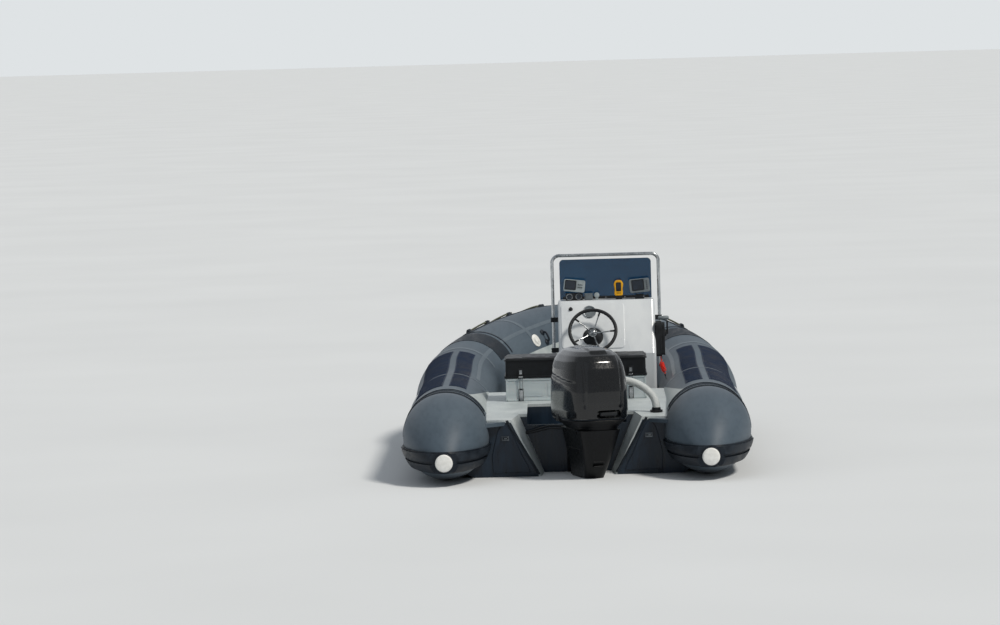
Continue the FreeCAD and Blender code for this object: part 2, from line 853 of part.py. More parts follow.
# Towing eyes: a tongue with a bore on a base plate, lying flat on each pod and upright under the bow.
def eye_of(place, forward, roll=0):
    # the tongue reaches out along forward, in the plane of Y and Z before it is rolled
    thick = size("eye_thick")
    plate = size("eye_plate")
    stand = size("eye_stand")
    base_half = size("eye_base") / 2
    tongue = Part.makeCylinder(plate, thick, Vector(-thick / 2, 0, 0), Vector(1, 0, 0))
    web = Part.makeBox(thick, stand, 2 * plate, Vector(-thick / 2, -stand, -plate))
    tongue = solid_of([tongue, web])
    bore = Part.makeCylinder(size("eye_radius"), 2 * base_half, Vector(-base_half, 0, 0), Vector(1, 0, 0))
    tongue = tongue.cut(bore)
    tongue.rotate(Vector(0, 0, 0), Vector(0, 1, 0), roll)
    base_tall = plate + base_half / 2
    base = Part.makeBox(2 * base_half, thick, 2 * base_tall, Vector(-base_half, -stand, -base_tall))
    eye = solid_of([tongue, base])
    eye.Placement = Placement(place, Rotation(Vector(0, 1, 0), forward))
    return eye


stern_eye = eye_of(Vector(size("eye_spread"), -size("eye_stand"), size("eye_height")), Vector(0, -1, 0), 90)
feature("stern_eye_starboard", stern_eye)
feature("stern_eye_port", port_of(stern_eye))


def stem_height(station):
    # the lowest point of the stem at a station
    probe = Part.makeLine(Vector(0, station, -1000), Vector(0, station, 1000))
    return min(corner.Z for corner in hull_form.common(probe).Vertexes)


eye_station = size("bow_eye_place")
stem_here = Vector(0, eye_station, stem_height(eye_station))
stem_step = size("eye_plate")
stem_along = Vector(0, 2 * stem_step, stem_height(eye_station + stem_step) - stem_height(eye_station - stem_step))
stem_out = Vector(0, stem_along.z, -stem_along.y).normalize()
bow_eye_centre = stem_here + stem_out * size("eye_stand")
bow_eye = eye_of(bow_eye_centre, stem_out).cut(hull_shape)
feature("bow_eye", max(bow_eye.Solids, key=lambda item: item.Volume))
print("bow eye at", bow_eye_centre)

# Locker seat: open-topped box, and a deep lid that is hollow too.
seat_centre = "0"
seat_outer = block("locker_box_outer", seat_centre, "seat_start", "deck_height",
                   "seat_width", "seat_depth", "seat_box_height")
seat_inner = block("locker_box_inner", seat_centre, "seat_start + seat_wall", "deck_height + seat_wall",
                   "seat_width - 2 * seat_wall", "seat_depth - 2 * seat_wall", "seat_box_height")
combined("Part::Cut", "locker_box", seat_outer, seat_inner)
lid_low = "deck_height + seat_box_height + lid_gap"
lid_half = "seat_width / 2"
lid_body = extrusion(
    "locker_lid_outer", "YZ_Plane",
    [
        ("seat_start", lid_low),
        ("seat_start + seat_depth", lid_low),
        ("seat_start + seat_depth", f"{lid_low} + lid_height"),
        ("seat_start", f"{lid_low} + lid_height"),
    ],
    f"-({lid_half})", lid_half,
)
rounded(lid_body, "lid_wall * 0.8", lambda edge: edge.CenterOfMass.z > size(f"{lid_low} + lid_height / 4"))
lid_inner = block("locker_lid_inner", seat_centre, "seat_start + lid_wall", f"{lid_low} - 1",
                  "seat_width - 2 * lid_wall", "seat_depth - 2 * lid_wall",
                  "lid_height + 1 - lid_wall")
combined("Part::Cut", "locker_lid", lid_body, lid_inner)

hinge_y = "seat_start + seat_depth + hinge_radius + gap"
hinge_z = "deck_height + seat_box_height + lid_gap"
hinges = []
for side in (-1, 1):
    hinges.append(rod(
        f"locker_hinge_{'port' if side < 0 else 'starboard'}",
        (f"{side} * hinge_spread - hinge_length / 2", hinge_y, hinge_z),
        (f"{side} * hinge_spread + hinge_length / 2", hinge_y, hinge_z), "hinge_radius",
    ))
combined("Part::MultiFuse", "locker_hinges", *hinges)
latch_y = "seat_start - latch_thick - gap"
latches = []
for side in (-1, 1):
    latches.append(block(
        f"latch_{'port' if side < 0 else 'starboard'}", f"{side} * latch_spread", latch_y,
        "deck_height + gap", "latch_width", "latch_thick", "latch_height",
    ))
    latches.append(block(
        f"latch_upper_{'port' if side < 0 else 'starboard'}", f"{side} * latch_spread", latch_y,
        "deck_height + seat_box_height - latch_lap", "latch_width", "latch_thick", "latch_height",
    ))
combined("Part::MultiFuse", "locker_latches", *latches)

# Console: one profile seen from the side, with a sloping dash.
console_left = "console_centre - console_width / 2"
console_right = "console_centre + console_width / 2"
console = extrusion(
    "console", "YZ_Plane",
    [
        ("console_start", "sole_height"),
        ("console_foot_back", "sole_height"),
        ("console_back", "console_height - 30"),
        ("console_back - 40", "console_height"),
        ("console_dash_top", "console_height"),
        ("console_knee", "console_knee_height"),
    ],
    console_left, console_right,
)
rounded(console, "console_round", lambda edge: edge.CenterOfMass.z > size("sole_height + 1")
        and abs(edge.CenterOfMass.x - size("console_centre")) > size("console_width / 2 - 1"))

screen = extrusion(
    "windscreen", "XZ_Plane",
    [
        ("console_centre - screen_width / 2", "console_height + gap"),
        ("console_centre + screen_width / 2", "console_height + gap"),
        ("console_centre + screen_width / 2", "console_height + screen_height"),
        ("console_centre - screen_width / 2", "console_height + screen_height"),
    ],
    "screen_start", "screen_start + screen_thick",
)
rounded(screen, "screen_round", lambda edge: abs(edge.CenterOfMass.y - size("screen_start + screen_thick / 2")) < 1
        and edge.CenterOfMass.z > size("console_height + screen_height - 1"))

rail_half = size("rail_spread / 2")
rail_y = size("rail_place")
rail_centre = size("console_centre")
rail_points = [
    Vector(rail_centre - rail_half, rail_y, size("rail_foot")),
    Vector(rail_centre - rail_half, rail_y, size("rail_height")),
    Vector(rail_centre + rail_half, rail_y, size("rail_height")),
    Vector(rail_centre + rail_half, rail_y, size("rail_foot")),
]
rail_tube = smooth_tube(rail_points, size("rail_radius"), [size("rail_bend")] * 2)
brackets = []
for side in (-1, 1):
    for height in ("bracket_upper", "bracket_lower"):
        inner = rail_centre + side * (size("console_width / 2 + gap"))
        outer = rail_centre + side * (rail_half + size("rail_radius") + 4)
        brackets.append(Part.makeBox(
            abs(outer - inner), size("bracket_size"), size("bracket_size"),
            Vector(min(inner, outer), rail_y - size("bracket_size / 2"), size(height) - size("bracket_size / 2")),
        ))
feature("console_rail", solid_of([rail_tube, *brackets]))

# Helm: bezel on the dash, wheel on its shaft, both square to the leaning wheel plane.
lean = size("wheel_lean")
wheel_normal = Vector(0, -math.cos(math.radians(lean)), math.sin(math.radians(lean)))
dash_slope = size("(console_dash_top - console_knee) / (console_height - console_knee_height)")
# the dash point where the shaft comes out
reach_back = size("wheel_reach")
wheel_point = Vector(size("wheel_centre"), 0, size("wheel_height"))
dash_height = size("wheel_height") - reach_back * wheel_normal.z
dash_y = size("console_knee") + (dash_height - size("console_knee_height")) * dash_slope
dash_point = Vector(size("wheel_centre"), dash_y, dash_height)
wheel_point = dash_point + wheel_normal * reach_back
dash_normal = Vector(0, -1, dash_slope).normalize()
bezel = revolution("helm_bezel", [
    ("0", "gap"), ("bezel_radius", "gap"), ("bezel_radius * 0.96", "bezel_length * 0.3"),
    ("bezel_radius * 0.6", "bezel_length * 0.8"), ("bezel_radius * 0.45", "bezel_length"), ("0", "bezel_length"),
])
bezel.Placement = Placement(dash_point, Rotation(Vector(0, 0, 1), dash_normal))
rim = labelled("Part::Torus", "wheel_rim")
bind(rim, "Radius1", "wheel_radius")
bind(rim, "Radius2", "rim_radius")
wheel_turn = Rotation(Vector(0, 0, 1), wheel_normal)
rim.Placement = Placement(wheel_point, wheel_turn)
document.recompute()
hub_drop = 52
hub = Part.makeCylinder(size("hub_radius"), size("hub_length"), Vector(0, 0, -hub_drop))
shaft_reach = reach_back - size("bezel_length") - hub_drop - size("gap")
shaft = Part.makeCylinder(size("shaft_radius"), shaft_reach, Vector(0, 0, -hub_drop - shaft_reach))
spokes = []
for index in range(int(size("spoke_count"))):
    spoke_end = size("wheel_radius - rim_radius - gap")
    start = Vector(size("hub_radius") - 4, 0, -hub_drop + size("hub_length") / 2)
    end = Vector(spoke_end + 2, 0, 0)
    spoke = Part.makeCylinder(size("spoke_radius"), (end - start).Length, start, end - start)
    spoke.rotate(Vector(0, 0, 0), Vector(0, 0, 1), 90 + 360 / size("spoke_count") * index)
    spokes.append(spoke)
star = solid_of([hub, shaft, *spokes])
star.Placement = Placement(wheel_point, wheel_turn)
feature("wheel_spokes", star.cut(rim.Shape))

throttle_x = "console_centre + console_width / 2 + gap"
throttle_box = extrusion(
    "throttle_box", "YZ_Plane",
    [
        ("throttle_start", "throttle_low"),
        ("throttle_start + throttle_length", "throttle_low + throttle_rake"),
        ("throttle_start + throttle_length", "throttle_high - 10"),
        ("throttle_start", "throttle_high"),
    ],
    throttle_x, f"{throttle_x} + throttle_thick",
)
rounded(throttle_box, "10", lambda edge: edge.CenterOfMass.x > size(f"{throttle_x} + 1"))
grip = rod("throttle_grip", (f"{throttle_x} + 20", "throttle_start + 40", "throttle_high + 22"),
           (f"{throttle_x} + throttle_thick + 30", "throttle_start + 40", "throttle_high + 22"), "grip_radius")
arm_x = f"{throttle_x} + throttle_thick + arm_radius + gap"
arm = rod("throttle_arm", (arm_x, "throttle_start + 40", "throttle_high - 90"),
          (arm_x, "throttle_start + 40", "throttle_high + 22"), "arm_radius")
combined("Part::MultiFuse", "throttle_lever", grip, arm)

# Instruments on the console's top, each with its foot.
instrument_rows = [
    # label, centre across, low, width, height, depth, foot width
    ("plotter_port", 6, 62, 168, 96, 46, 60),
    ("plotter_starboard", 492, 62, 158, 100, 46, 60),
    ("handheld", 336, 30, 62, 118, 40, 40),
]
for label, across, low, width, height, deep, foot in instrument_rows:
    case = extrusion(
        label + "_case", "XZ_Plane",
        [
            (f"{across - width / 2}", f"console_height + {low}"),
            (f"{across + width / 2}", f"console_height + {low}"),
            (f"{across + width / 2}", f"console_height + {low + height}"),
            (f"{across - width / 2}", f"console_height + {low + height}"),
        ],
        "console_dash_top + 40", f"console_dash_top + 40 + {deep}",
    )
    rounded(case, "10", along(Vector(0, 1, 0)))
    base = block(label + "_foot", f"{across}", "console_dash_top + 50", "console_height + gap",
                 f"{foot}", "40", f"{low + 6}")
    combined("Part::MultiFuse", label, case, base)
small_rows = [
    # label, centre across, width, height
    ("meter_a", 105, 58, 52),
    ("meter_b", 172, 40, 58),
]
meters = [block(label, f"{across}", "console_dash_top + 50", "console_height + gap",
                f"{width}", "40", f"{height}") for label, across, width, height in small_rows]
combined("Part::MultiFuse", "small_meters", *meters)

# Engine mount: clamp on the transom with the tilt tube, swivel bracket with the steering tube.
transom_y = "pod_length - gap"
cheeks = []
for side in (-1, 1):
    cheek = extrusion(
        f"clamp_cheek_{'port' if side < 0 else 'starboard'}", "YZ_Plane",
        [
            ("tilt_axis - 26", "tilt_height + 20"),
            ("tilt_axis - 40", "tilt_height - 60"),
            ("pod_length - 60", "transom_height - 320"),
            (transom_y, "transom_height - 340"),
            (transom_y, "transom_height + gap"),
            ("pod_length + transom_thick", "transom_height + gap"),
            ("pod_length + transom_thick", "tilt_height + 20"),
        ],
        f"{side} * clamp_spread - clamp_thick / 2", f"{side} * clamp_spread + clamp_thick / 2",
    )
    cheeks.append(cheek)
tilt_tube = rod("tilt_tube", ("-(clamp_spread + 24)", "tilt_axis", "tilt_height"),
                ("clamp_spread + 24", "tilt_axis", "tilt_height"), "tilt_tube_radius")
combined("Part::MultiFuse", "clamp_bracket", *cheeks, tilt_tube)

steer_y = size("steer_axis")
swivel_tube = Part.makeCylinder(
    size("swivel_radius"), size("swivel_high - swivel_low"), Vector(0, steer_y, size("swivel_low")),
)
arm_front = size("tilt_axis + tilt_boss")
yoke_clear = size("steer_axis + yoke_radius") + 12
arm_points = [
    (steer_y, size("swivel_low") + 60), (arm_front, size("tilt_height") - 150),
    (arm_front, size("tilt_height + tilt_boss")),
    (size("tilt_axis - tilt_tube_radius"), size("tilt_height + tilt_boss")),
    (yoke_clear, size("tilt_height")), (yoke_clear, size("swivel_high")), (steer_y, size("swivel_high")),
]
swivel_arm = side_prism(arm_points, size("swivel_width / 2"))
tilt_bore = Part.makeCylinder(
    size("tilt_tube_radius + gap / 4"), size("2 * swivel_width"),
    Vector(-size("swivel_width"), size("tilt_axis"), size("tilt_height")), Vector(1, 0, 0),
)
swivel = solid_of([swivel_tube, swivel_arm]).cut(tilt_bore)
feature("swivel_bracket", swivel)

# Outboard, modelled straight ahead and then turned about the steering axis as it was left.
steered = Placement(Vector(0, 0, 0), Rotation(Vector(0, 0, 1), size("steer_rest")), Vector(0, steer_y, 0))


def steered_feature(label, shape):
    shape.Placement = steered.multiply(shape.Placement)
    return feature(label, shape)


def rounded_section(half_width, front, back, corner, height, front_taper=0):
    # a plan outline of lines and arcs: front and back are Y, corner is the arcs' radius
    corners = [
        (half_width - front_taper, front), (-half_width + front_taper, front),
        (-half_width, back), (half_width, back),
    ]
    edges = []
    starts = []
    stops = []
    middles = []
    count = len(corners)
    for index, (x, y) in enumerate(corners):
        here = Vector(x, y, height)
        before = Vector(*corners[index - 1], height) - here
        after = Vector(*corners[(index + 1) % count], height) - here
        half_turn = before.getAngle(after) / 2
        trim = corner / math.tan(half_turn)
        starts.append(here + before.normalize() * trim)
        stops.append(here + after.normalize() * trim)
        inward = (before + after).normalize()
        middles.append(here + inward * (corner / math.sin(half_turn) - corner))
    for index in range(count):
        edges.append(Part.Arc(starts[index], middles[index], stops[index]).toShape())
        edges.append(Part.makeLine(stops[index], starts[(index + 1) % count]))
    return Part.Wire(edges)


cowl_low = size("cowl_low")
cowl_rows = [
    # set in at each side, at the front, at the back, corner, height, how much narrower the front is
    (9, 6, 22, 118, cowl_low, 30),
    (0, 0, 0, 125, cowl_low + 130, 32),
    (2, 4, 3, 125, cowl_low + 240, 32),
    (26, 22, 28, 112, size("cowl_top") - 115, 30),
    (58, 52, 74, 92, size("cowl_top") - 38, 28),
    (108, 110, 170, 60, size("cowl_top"), 22),
]
pan_rows = [
    (9, 6, 22, 118, cowl_low - size("gap"), 30),
    (15, 44, 30, 110, cowl_low - 25, 32),
    (80, 160, 46, 78, size("pan_low"), 26),
]


def shell_of(rows):
    outlines = []
    for side_in, front_in, back_in, corner, height, taper in rows:
        outlines.append(rounded_section(
            size("cowl_half_width") - side_in, size("cowl_front") - front_in,
            back_in - size("cowl_back"), corner, height, taper,
        ))
    return Part.makeLoft(outlines, True, False)


steered_feature("cowl", shell_of(cowl_rows))
steered_feature("lower_cowl", shell_of(pan_rows))

leg_half = size("leg_half_width")
leg_front = size("leg_front")
leg_back = size("leg_back")
leg_rows = [
    # half width, front, back, corner, height
    (leg_half, leg_front, -leg_back, 78, size("pan_low") - size("gap")),
    (leg_half - 36, leg_front, 52 - leg_back, 62, 200),
    (leg_half - 60, leg_front, 116 - leg_back, 52, 90),
    (leg_half - 80, leg_front, 190 - leg_back, 44, -10),
    (44, leg_front + 4, -122, 36, size("plate_height") + 20),
]
leg = Part.makeLoft([rounded_section(*row) for row in leg_rows], True, False)
yoke_room = Part.makeBox(
    2 * leg_half + 40, 300, size("swivel_high - swivel_low") + 10,
    Vector(-leg_half - 20, steer_y - size("swivel_radius") - 6, size("swivel_low") - 5),
)
leg = leg.cut(yoke_room)
yoke_thick = size("yoke_thick")
leg_pieces = [leg]
for z in (size("swivel_high + gap"), size("swivel_low - gap") - yoke_thick):
    yoke = Part.makeCylinder(size("yoke_radius"), yoke_thick, Vector(0, steer_y, z))
    bar = Part.makeBox(size("1.8 * yoke_radius"), steer_y - 40, yoke_thick, Vector(-size("0.9 * yoke_radius"), 40, z))
    leg_pieces.extend([yoke, bar])
steered_feature("leg", solid_of(leg_pieces))

plate_z = size("plate_height")
plate_face = rounded_section(118, 120, -330, 60, plate_z, 60)
plate = Part.Face(plate_face).extrude(Vector(0, 0, 12))
strut_rows = [
    (44, 88, -116, 36, plate_z + 20 - size("gap")),
    (32, 92, -112, 26, plate_z - 90),
    (26, 96, -104, 20, size("propeller_height") + 30),
]
strut = Part.makeLoft([rounded_section(*row) for row in strut_rows], True, False)
gear_points = [(0, 190), (22, 176), (40, 140), (52, 80), (54, 0), (50, -90), (46, -130), (0, -130)]
gear_wire = Part.makePolygon([Vector(r, y, 0) for r, y in [*gear_points, gear_points[0]]])
gear = Part.Face(gear_wire).revolve(Vector(0, 0, 0), Vector(0, 1, 0), 360)
if gear.Volume < 0:
    gear.reverse()
gear.translate(Vector(0, 0, size("propeller_height")))
skeg_points = [
    (70, size("propeller_height")), (30, size("skeg_low") + 40), (-20, size("skeg_low")),
    (-90, size("skeg_low")), (-110, size("propeller_height")),
]
skeg = side_prism(skeg_points, 6)
steered_feature("gearcase", solid_of([plate, strut, gear, skeg]))

prop_y = -130 - size("gap")
hub_points = [(0, 0), (46, 0), (52, -60), (52, -150), (0, -150)]
hub_wire = Part.makePolygon([Vector(r, y, 0) for r, y in [*hub_points, hub_points[0]]])
prop_hub = Part.Face(hub_wire).revolve(Vector(0, 0, 0), Vector(0, 1, 0), 360)
if prop_hub.Volume < 0:
    prop_hub.reverse()
blade_rows = [
    # distance from the shaft, half chord, thickness, pitch angle, rake
    (40, 56, 12, 52, 0),
    (100, 78, 9, 36, -8),
    (size("propeller_radius"), 44, 4, 24, -26),
]


def blade_section(distance, half_chord, thick, pitch, rake):
    points = []
    for along_chord, off in ((-half_chord, 0), (0, thick / 2), (half_chord, 0), (0, -thick / 2)):
        angle = math.radians(pitch)
        points.append(Vector(
            along_chord * math.cos(angle) - off * math.sin(angle),
            along_chord * math.sin(angle) + off * math.cos(angle) + rake, distance,
        ))
    return Part.Wire([
        Part.Arc(points[0], points[1], points[2]).toShape(),
        Part.Arc(points[2], points[3], points[0]).toShape(),
    ])


blade = Part.makeLoft([blade_section(*row) for row in blade_rows], True, False)
blade.translate(Vector(0, -75, 0))
blades = []
for index in range(int(size("blade_count"))):
    turned = blade.copy()
    turned.rotate(Vector(0, 0, 0), Vector(0, 1, 0), 360 / size("blade_count") * index)
    blades.append(turned)
propeller = solid_of([prop_hub, *blades])
propeller.translate(Vector(0, prop_y, size("propeller_height")))
steered_feature("propeller", propeller)

# Rigging: pale hose in an arch from the pod's deck to the engine's front, and two cables.
deck_rise = math.degrees(math.atan(size("(deck_height - deck_aft_height) / deck_slope_end")))
hose_x = size("hose_place")
hose_y = size("hose_station")
deck_there = size("deck_aft_height") + hose_y * math.tan(math.radians(deck_rise))
flange = labelled("Part::Cylinder", "hose_flange")
bind(flange, "Radius", "hose_radius + 17")
bind(flange, "Height", "flange_thick")
flange.Placement = Placement(Vector(hose_x, hose_y, deck_there), Rotation(Vector(1, 0, 0), deck_rise))
document.recompute()
hose_foot = flange.Placement.multVec(Vector(0, 0, size("flange_thick + gap")))
hose_route = [
    hose_foot, hose_foot + flange.Placement.Rotation.multVec(Vector(0, 0, 52)),
    Vector(530, 226, 540), Vector(455, 238, 602), Vector(370, 252, 634), Vector(290, 268, 636),
    Vector(222, 280, 626), Vector(160, 276, 612), Vector(115.3, 246.8, 601), Vector(112, 206.9, 600),
]
feature("rigging_hose", smooth_tube(hose_route, size("hose_radius")))
cables = []
cable_radius = size("cable_radius")
for index in range(2):
    drop = 17 * index
    # the cable comes out of the notch's lining
    cable_x = size("gap") - notch_half(236 - drop, 292 - drop / 2 - cable_radius)
    cable_route = [
        Vector(cable_x, 236 - drop, 292 - drop / 2), Vector(-320, 236 - drop, 296 - drop / 2),
        Vector(-262, 226 - drop, 318 - drop), Vector(-190, 208 - drop, 336 - drop),
        Vector(-120, 184 - drop, 334 - drop), Vector(-72, 160 - drop / 2, 328 - drop),
        Vector(-43, 148 - drop / 2, 324 - drop),
    ]
    cables.append(smooth_tube(cable_route, cable_radius))
feature("steering_cables", Part.makeCompound(cables))
# the kill cord leaves the throttle box square to its sloping underside
cord_place = 40
cord_top = Vector(
    size(f"{throttle_x} + throttle_thick / 2"), size("throttle_start") + cord_place,
    size("throttle_low") + cord_place * size("throttle_rake / throttle_length"),
)
cord_out = Vector(0, size("throttle_rake"), -size("throttle_length")).normalize()
kill_route = [
    cord_top, cord_top + cord_out * 36, cord_top + Vector(6, -8, -74),
    cord_top + Vector(20, -22, -108), cord_top + Vector(26, -26, -140),
]
feature("kill_cord", smooth_tube(kill_route, size("kill_cord_radius")))

document.recompute()

# Every sub-part that is handed out, by label.
finals = [
    "hull", "aft_deck", "cockpit_sole", "fore_deck", "anchor_hatch",
    "tube_starboard", "tube_port", "tube_bow", "cone_starboard", "cone_port",
    "cone_cap_starboard", "cone_cap_port", "rub_strake_starboard", "rub_strake_port",
    "cone_strake_starboard", "cone_strake_port", "tread_starboard", "tread_port",
    "bands_starboard", "bands_port", "oval_patch_starboard", "oval_patch_port",
    "valve_starboard", "valve_port", "anchors_starboard", "anchors_port",
    "lifeline_starboard", "lifeline_port", "gusset_starboard", "gusset_port",
    "stern_eye_starboard", "stern_eye_port", "bow_eye",
    "locker_box", "locker_lid", "locker_hinges", "locker_latches",
    "console", "windscreen", "console_rail", "helm_bezel", "wheel_rim", "wheel_spokes",
    "throttle_box", "throttle_lever", "plotter_port", "plotter_starboard", "handheld", "small_meters",
    "clamp_bracket", "swivel_bracket", "cowl", "lower_cowl", "leg", "gearcase", "propeller",
    "hose_flange", "rigging_hose", "steering_cables", "kill_cord",
]
for thing in document.Objects:
    if "Invalid" in thing.State or "Error" in thing.State:
        raise ValueError(f"{thing.Label} failed: {thing.State}")
os.makedirs("parts", exist_ok=True)
for label in finals:
    shape = document.getObjectsByLabel(label)[0].Shape
    if shape.isNull() or not shape.isValid() or not shape.Solids:
        raise ValueError(f"{label} has no valid shape")
    if any(solid.Volume <= 0 for solid in shape.Solids):
        raise ValueError(f"{label} is inside out")
    shape.exportStep(os.path.join("parts", label + ".step"))
    print(f"{label}: {len(shape.Solids)} solid, {shape.Volume / 1e9:.5f} m3")
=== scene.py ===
import json
import math
import bmesh
import bpy
from mathutils import Matrix, Vector


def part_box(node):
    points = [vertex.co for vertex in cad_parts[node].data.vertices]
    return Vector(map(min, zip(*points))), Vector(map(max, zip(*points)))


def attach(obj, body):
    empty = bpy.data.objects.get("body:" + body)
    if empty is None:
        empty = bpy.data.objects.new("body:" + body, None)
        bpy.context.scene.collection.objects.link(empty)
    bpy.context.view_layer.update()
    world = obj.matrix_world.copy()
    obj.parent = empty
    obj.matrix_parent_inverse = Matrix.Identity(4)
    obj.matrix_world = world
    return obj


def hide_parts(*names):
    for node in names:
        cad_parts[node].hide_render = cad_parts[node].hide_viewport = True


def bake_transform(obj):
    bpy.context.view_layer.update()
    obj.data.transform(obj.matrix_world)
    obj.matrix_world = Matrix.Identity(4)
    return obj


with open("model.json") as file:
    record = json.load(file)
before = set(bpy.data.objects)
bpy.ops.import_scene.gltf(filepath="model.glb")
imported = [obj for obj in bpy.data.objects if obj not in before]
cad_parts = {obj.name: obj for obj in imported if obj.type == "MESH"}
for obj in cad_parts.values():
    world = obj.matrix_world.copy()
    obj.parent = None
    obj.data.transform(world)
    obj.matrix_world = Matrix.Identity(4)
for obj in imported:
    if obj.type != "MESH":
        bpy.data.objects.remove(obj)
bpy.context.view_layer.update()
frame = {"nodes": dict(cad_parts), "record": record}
cad = frame["nodes"]
scene = bpy.context.scene


# Colours, nodes and the patterns that the materials share

def fromHex(code):
    parts = [int(code[i:i + 2], 16) / 255 for i in (1, 3, 5)]
    return tuple(p / 12.92 if p <= 0.04045 else ((p + 0.055) / 1.055) ** 2.4 for p in parts) + (1.0,)


def add(tree, kind, inputs=None, **settings):
    node = tree.nodes.new(kind)
    for key, value in settings.items():
        setattr(node, key, value)
    for key, value in (inputs or {}).items():
        if isinstance(value, bpy.types.NodeSocket):
            tree.links.new(value, node.inputs[key])
        else:
            node.inputs[key].default_value = value
    return node


def newMaterial(name, constants=None):
    material = bpy.data.materials.new(name)
    material.use_nodes = True
    shader = material.node_tree.nodes["Principled BSDF"]
    for key, value in (constants or {}).items():
        shader.inputs[key].default_value = value
    return material, material.node_tree, shader


# noise whose blobs are about the given size in millimetres; stretch makes them longer along an axis
def grain(tree, millimetres, detail=2.0, stretch=(1, 1, 1)):
    place = add(tree, "ShaderNodeTexCoord").outputs["Object"]
    if stretch != (1, 1, 1):
        scale = tuple(1 / s for s in stretch)
        place = add(tree, "ShaderNodeMapping", {"Vector": place, "Scale": scale}).outputs[0]
    noise = add(tree, "ShaderNodeTexNoise", {"Vector": place, "Scale": 1000 / millimetres, "Detail": detail})
    return noise.outputs["Fac"]


# a colour that goes from one hex value to the next as the factor rises
def shades(tree, factor, stops):
    ramp = add(tree, "ShaderNodeValToRGB", {"Fac": factor})
    for index, (place, code) in enumerate(stops):
        stop = ramp.color_ramp.elements[index] if index < 2 else ramp.color_ramp.elements.new(place)
        stop.position = place
        stop.color = fromHex(code)
    return ramp.outputs["Color"]


def spread(tree, factor, low, high, start=0.35, stop=0.65):
    inputs = {"Value": factor, "From Min": start, "From Max": stop, "To Min": low, "To Max": high}
    return add(tree, "ShaderNodeMapRange", inputs).outputs["Result"]


def multiply(tree, first, second, share):
    inputs = {0: share, 6: first, 7: second}
    mixer = add(tree, "ShaderNodeMix", inputs, data_type="RGBA", blend_type="MULTIPLY")
    return mixer.outputs[2]


# each layer is a height from 0 to 1 and its depth in millimetres
def relief(tree, shader, *layers):
    normal = None
    for height, depth in layers:
        bump = add(tree, "ShaderNodeBump", {"Height": height, "Distance": depth / 1000, "Strength": 1.0})
        if normal is not None:
            tree.links.new(normal, bump.inputs["Normal"])
        normal = bump.outputs["Normal"]
    tree.links.new(normal, shader.inputs["Normal"])


def feed(tree, shader, **sockets):
    names = {"colour": "Base Color", "roughness": "Roughness"}
    for key, value in sockets.items():
        tree.links.new(value, shader.inputs[names[key]])


# a finish whose colour and gloss follow one pattern of wear, over the fine relief of its skin;
# wear is its size in millimetres, detail and stretch, and skin is its size, detail and depth
def wornFinish(name, constants, wear, colours, roughness, skin=None):
    material, tree, shader = newMaterial(name, constants)
    pattern = grain(tree, *wear)
    feed(tree, shader, colour=shades(tree, pattern, colours), roughness=spread(tree, pattern, *roughness))
    if skin:
        millimetres, detail, depth = skin
        relief(tree, shader, (grain(tree, millimetres, detail), depth))
    return material


# Materials, each named for the real one

# rubber coated polyester fabric of the tubes: matt, soft sheen, faint cloudy fading, weave that just shows
def coatedFabric():
    constants = {"IOR": 1.5, "Specular IOR Level": 0.3, "Sheen Weight": 0.04}
    material, tree, shader = newMaterial("coatedTubeFabric", constants)
    cloud = grain(tree, 420, 4)
    colour = shades(tree, cloud, ((0.3, "#45525E"), (0.7, "#53606B")))
    scuffs = shades(tree, grain(tree, 35, 6, (1, 6, 1)), ((0.3, "#D9DCDD"), (0.55, "#FFFFFF")))
    feed(tree, shader, colour=multiply(tree, colour, scuffs, 0.45), roughness=spread(tree, cloud, 0.46, 0.58))
    # the real weave is under 1 mm, drawn at 4 mm so that it shows at all
    relief(tree, shader, (grain(tree, 4, 1), 0.25), (grain(tree, 60, 2), 0.8))
    return material


# pale grey gelcoat of the decks with a moulded grip pattern: satin, grey dirt lies in the low spots
def deckGelcoat():
    material, tree, shader = newMaterial("gripDeckGelcoat", {"IOR": 1.55})
    dirt = grain(tree, 130, 6)
    colour = shades(tree, dirt, ((0.25, "#B7C0C2"), (0.55, "#CAD1D2"), (0.8, "#D6DCDD")))
    # grip pimples are 3 mm wide, drawn at 7 mm
    place = add(tree, "ShaderNodeTexCoord").outputs["Object"]
    pimples = add(tree, "ShaderNodeTexVoronoi", {"Vector": place, "Scale": 1000 / 7.0}, feature="F1")
    height = spread(tree, pimples.outputs["Distance"], 1, 0, 0.05, 0.5)
    lows = shades(tree, height, ((0.0, "#C9CDCE"), (0.6, "#FFFFFF")))
    feed(tree, shader, colour=multiply(tree, colour, lows, 0.5), roughness=spread(tree, dirt, 0.42, 0.58))
    relief(tree, shader, (height, 0.5), (grain(tree, 200, 2), 0.8))
    return material


# cast acrylic of the windscreen: smoke blue, clear through, fine scratches from wiping
def tintedAcrylic():
    material, tree, shader = newMaterial("tintedAcrylic", {"IOR": 1.49, "Transmission Weight": 0.92})
    wiped = grain(tree, 6, 3, (12, 1, 1))
    feed(tree, shader, colour=shades(tree, grain(tree, 300, 2), ((0.3, "#12324E"), (0.7, "#1A4260"))),
         roughness=spread(tree, wiped, 0.02, 0.09))
    return material


# drawn and polished stainless tube: bright, faint polishing lines along it, tea stains in soft clouds
def polishedStainless(name, dark, light, gloss):
    material, tree, shader = newMaterial(name, {"Metallic": 1.0})
    polishing = grain(tree, 5, 3, (1, 1, 8))
    feed(tree, shader, colour=shades(tree, grain(tree, 60, 4), ((0.3, dark), (0.6, light))),
         roughness=spread(tree, polishing, gloss, gloss + 0.14))
    relief(tree, shader, (polishing, 0.03))
    return material


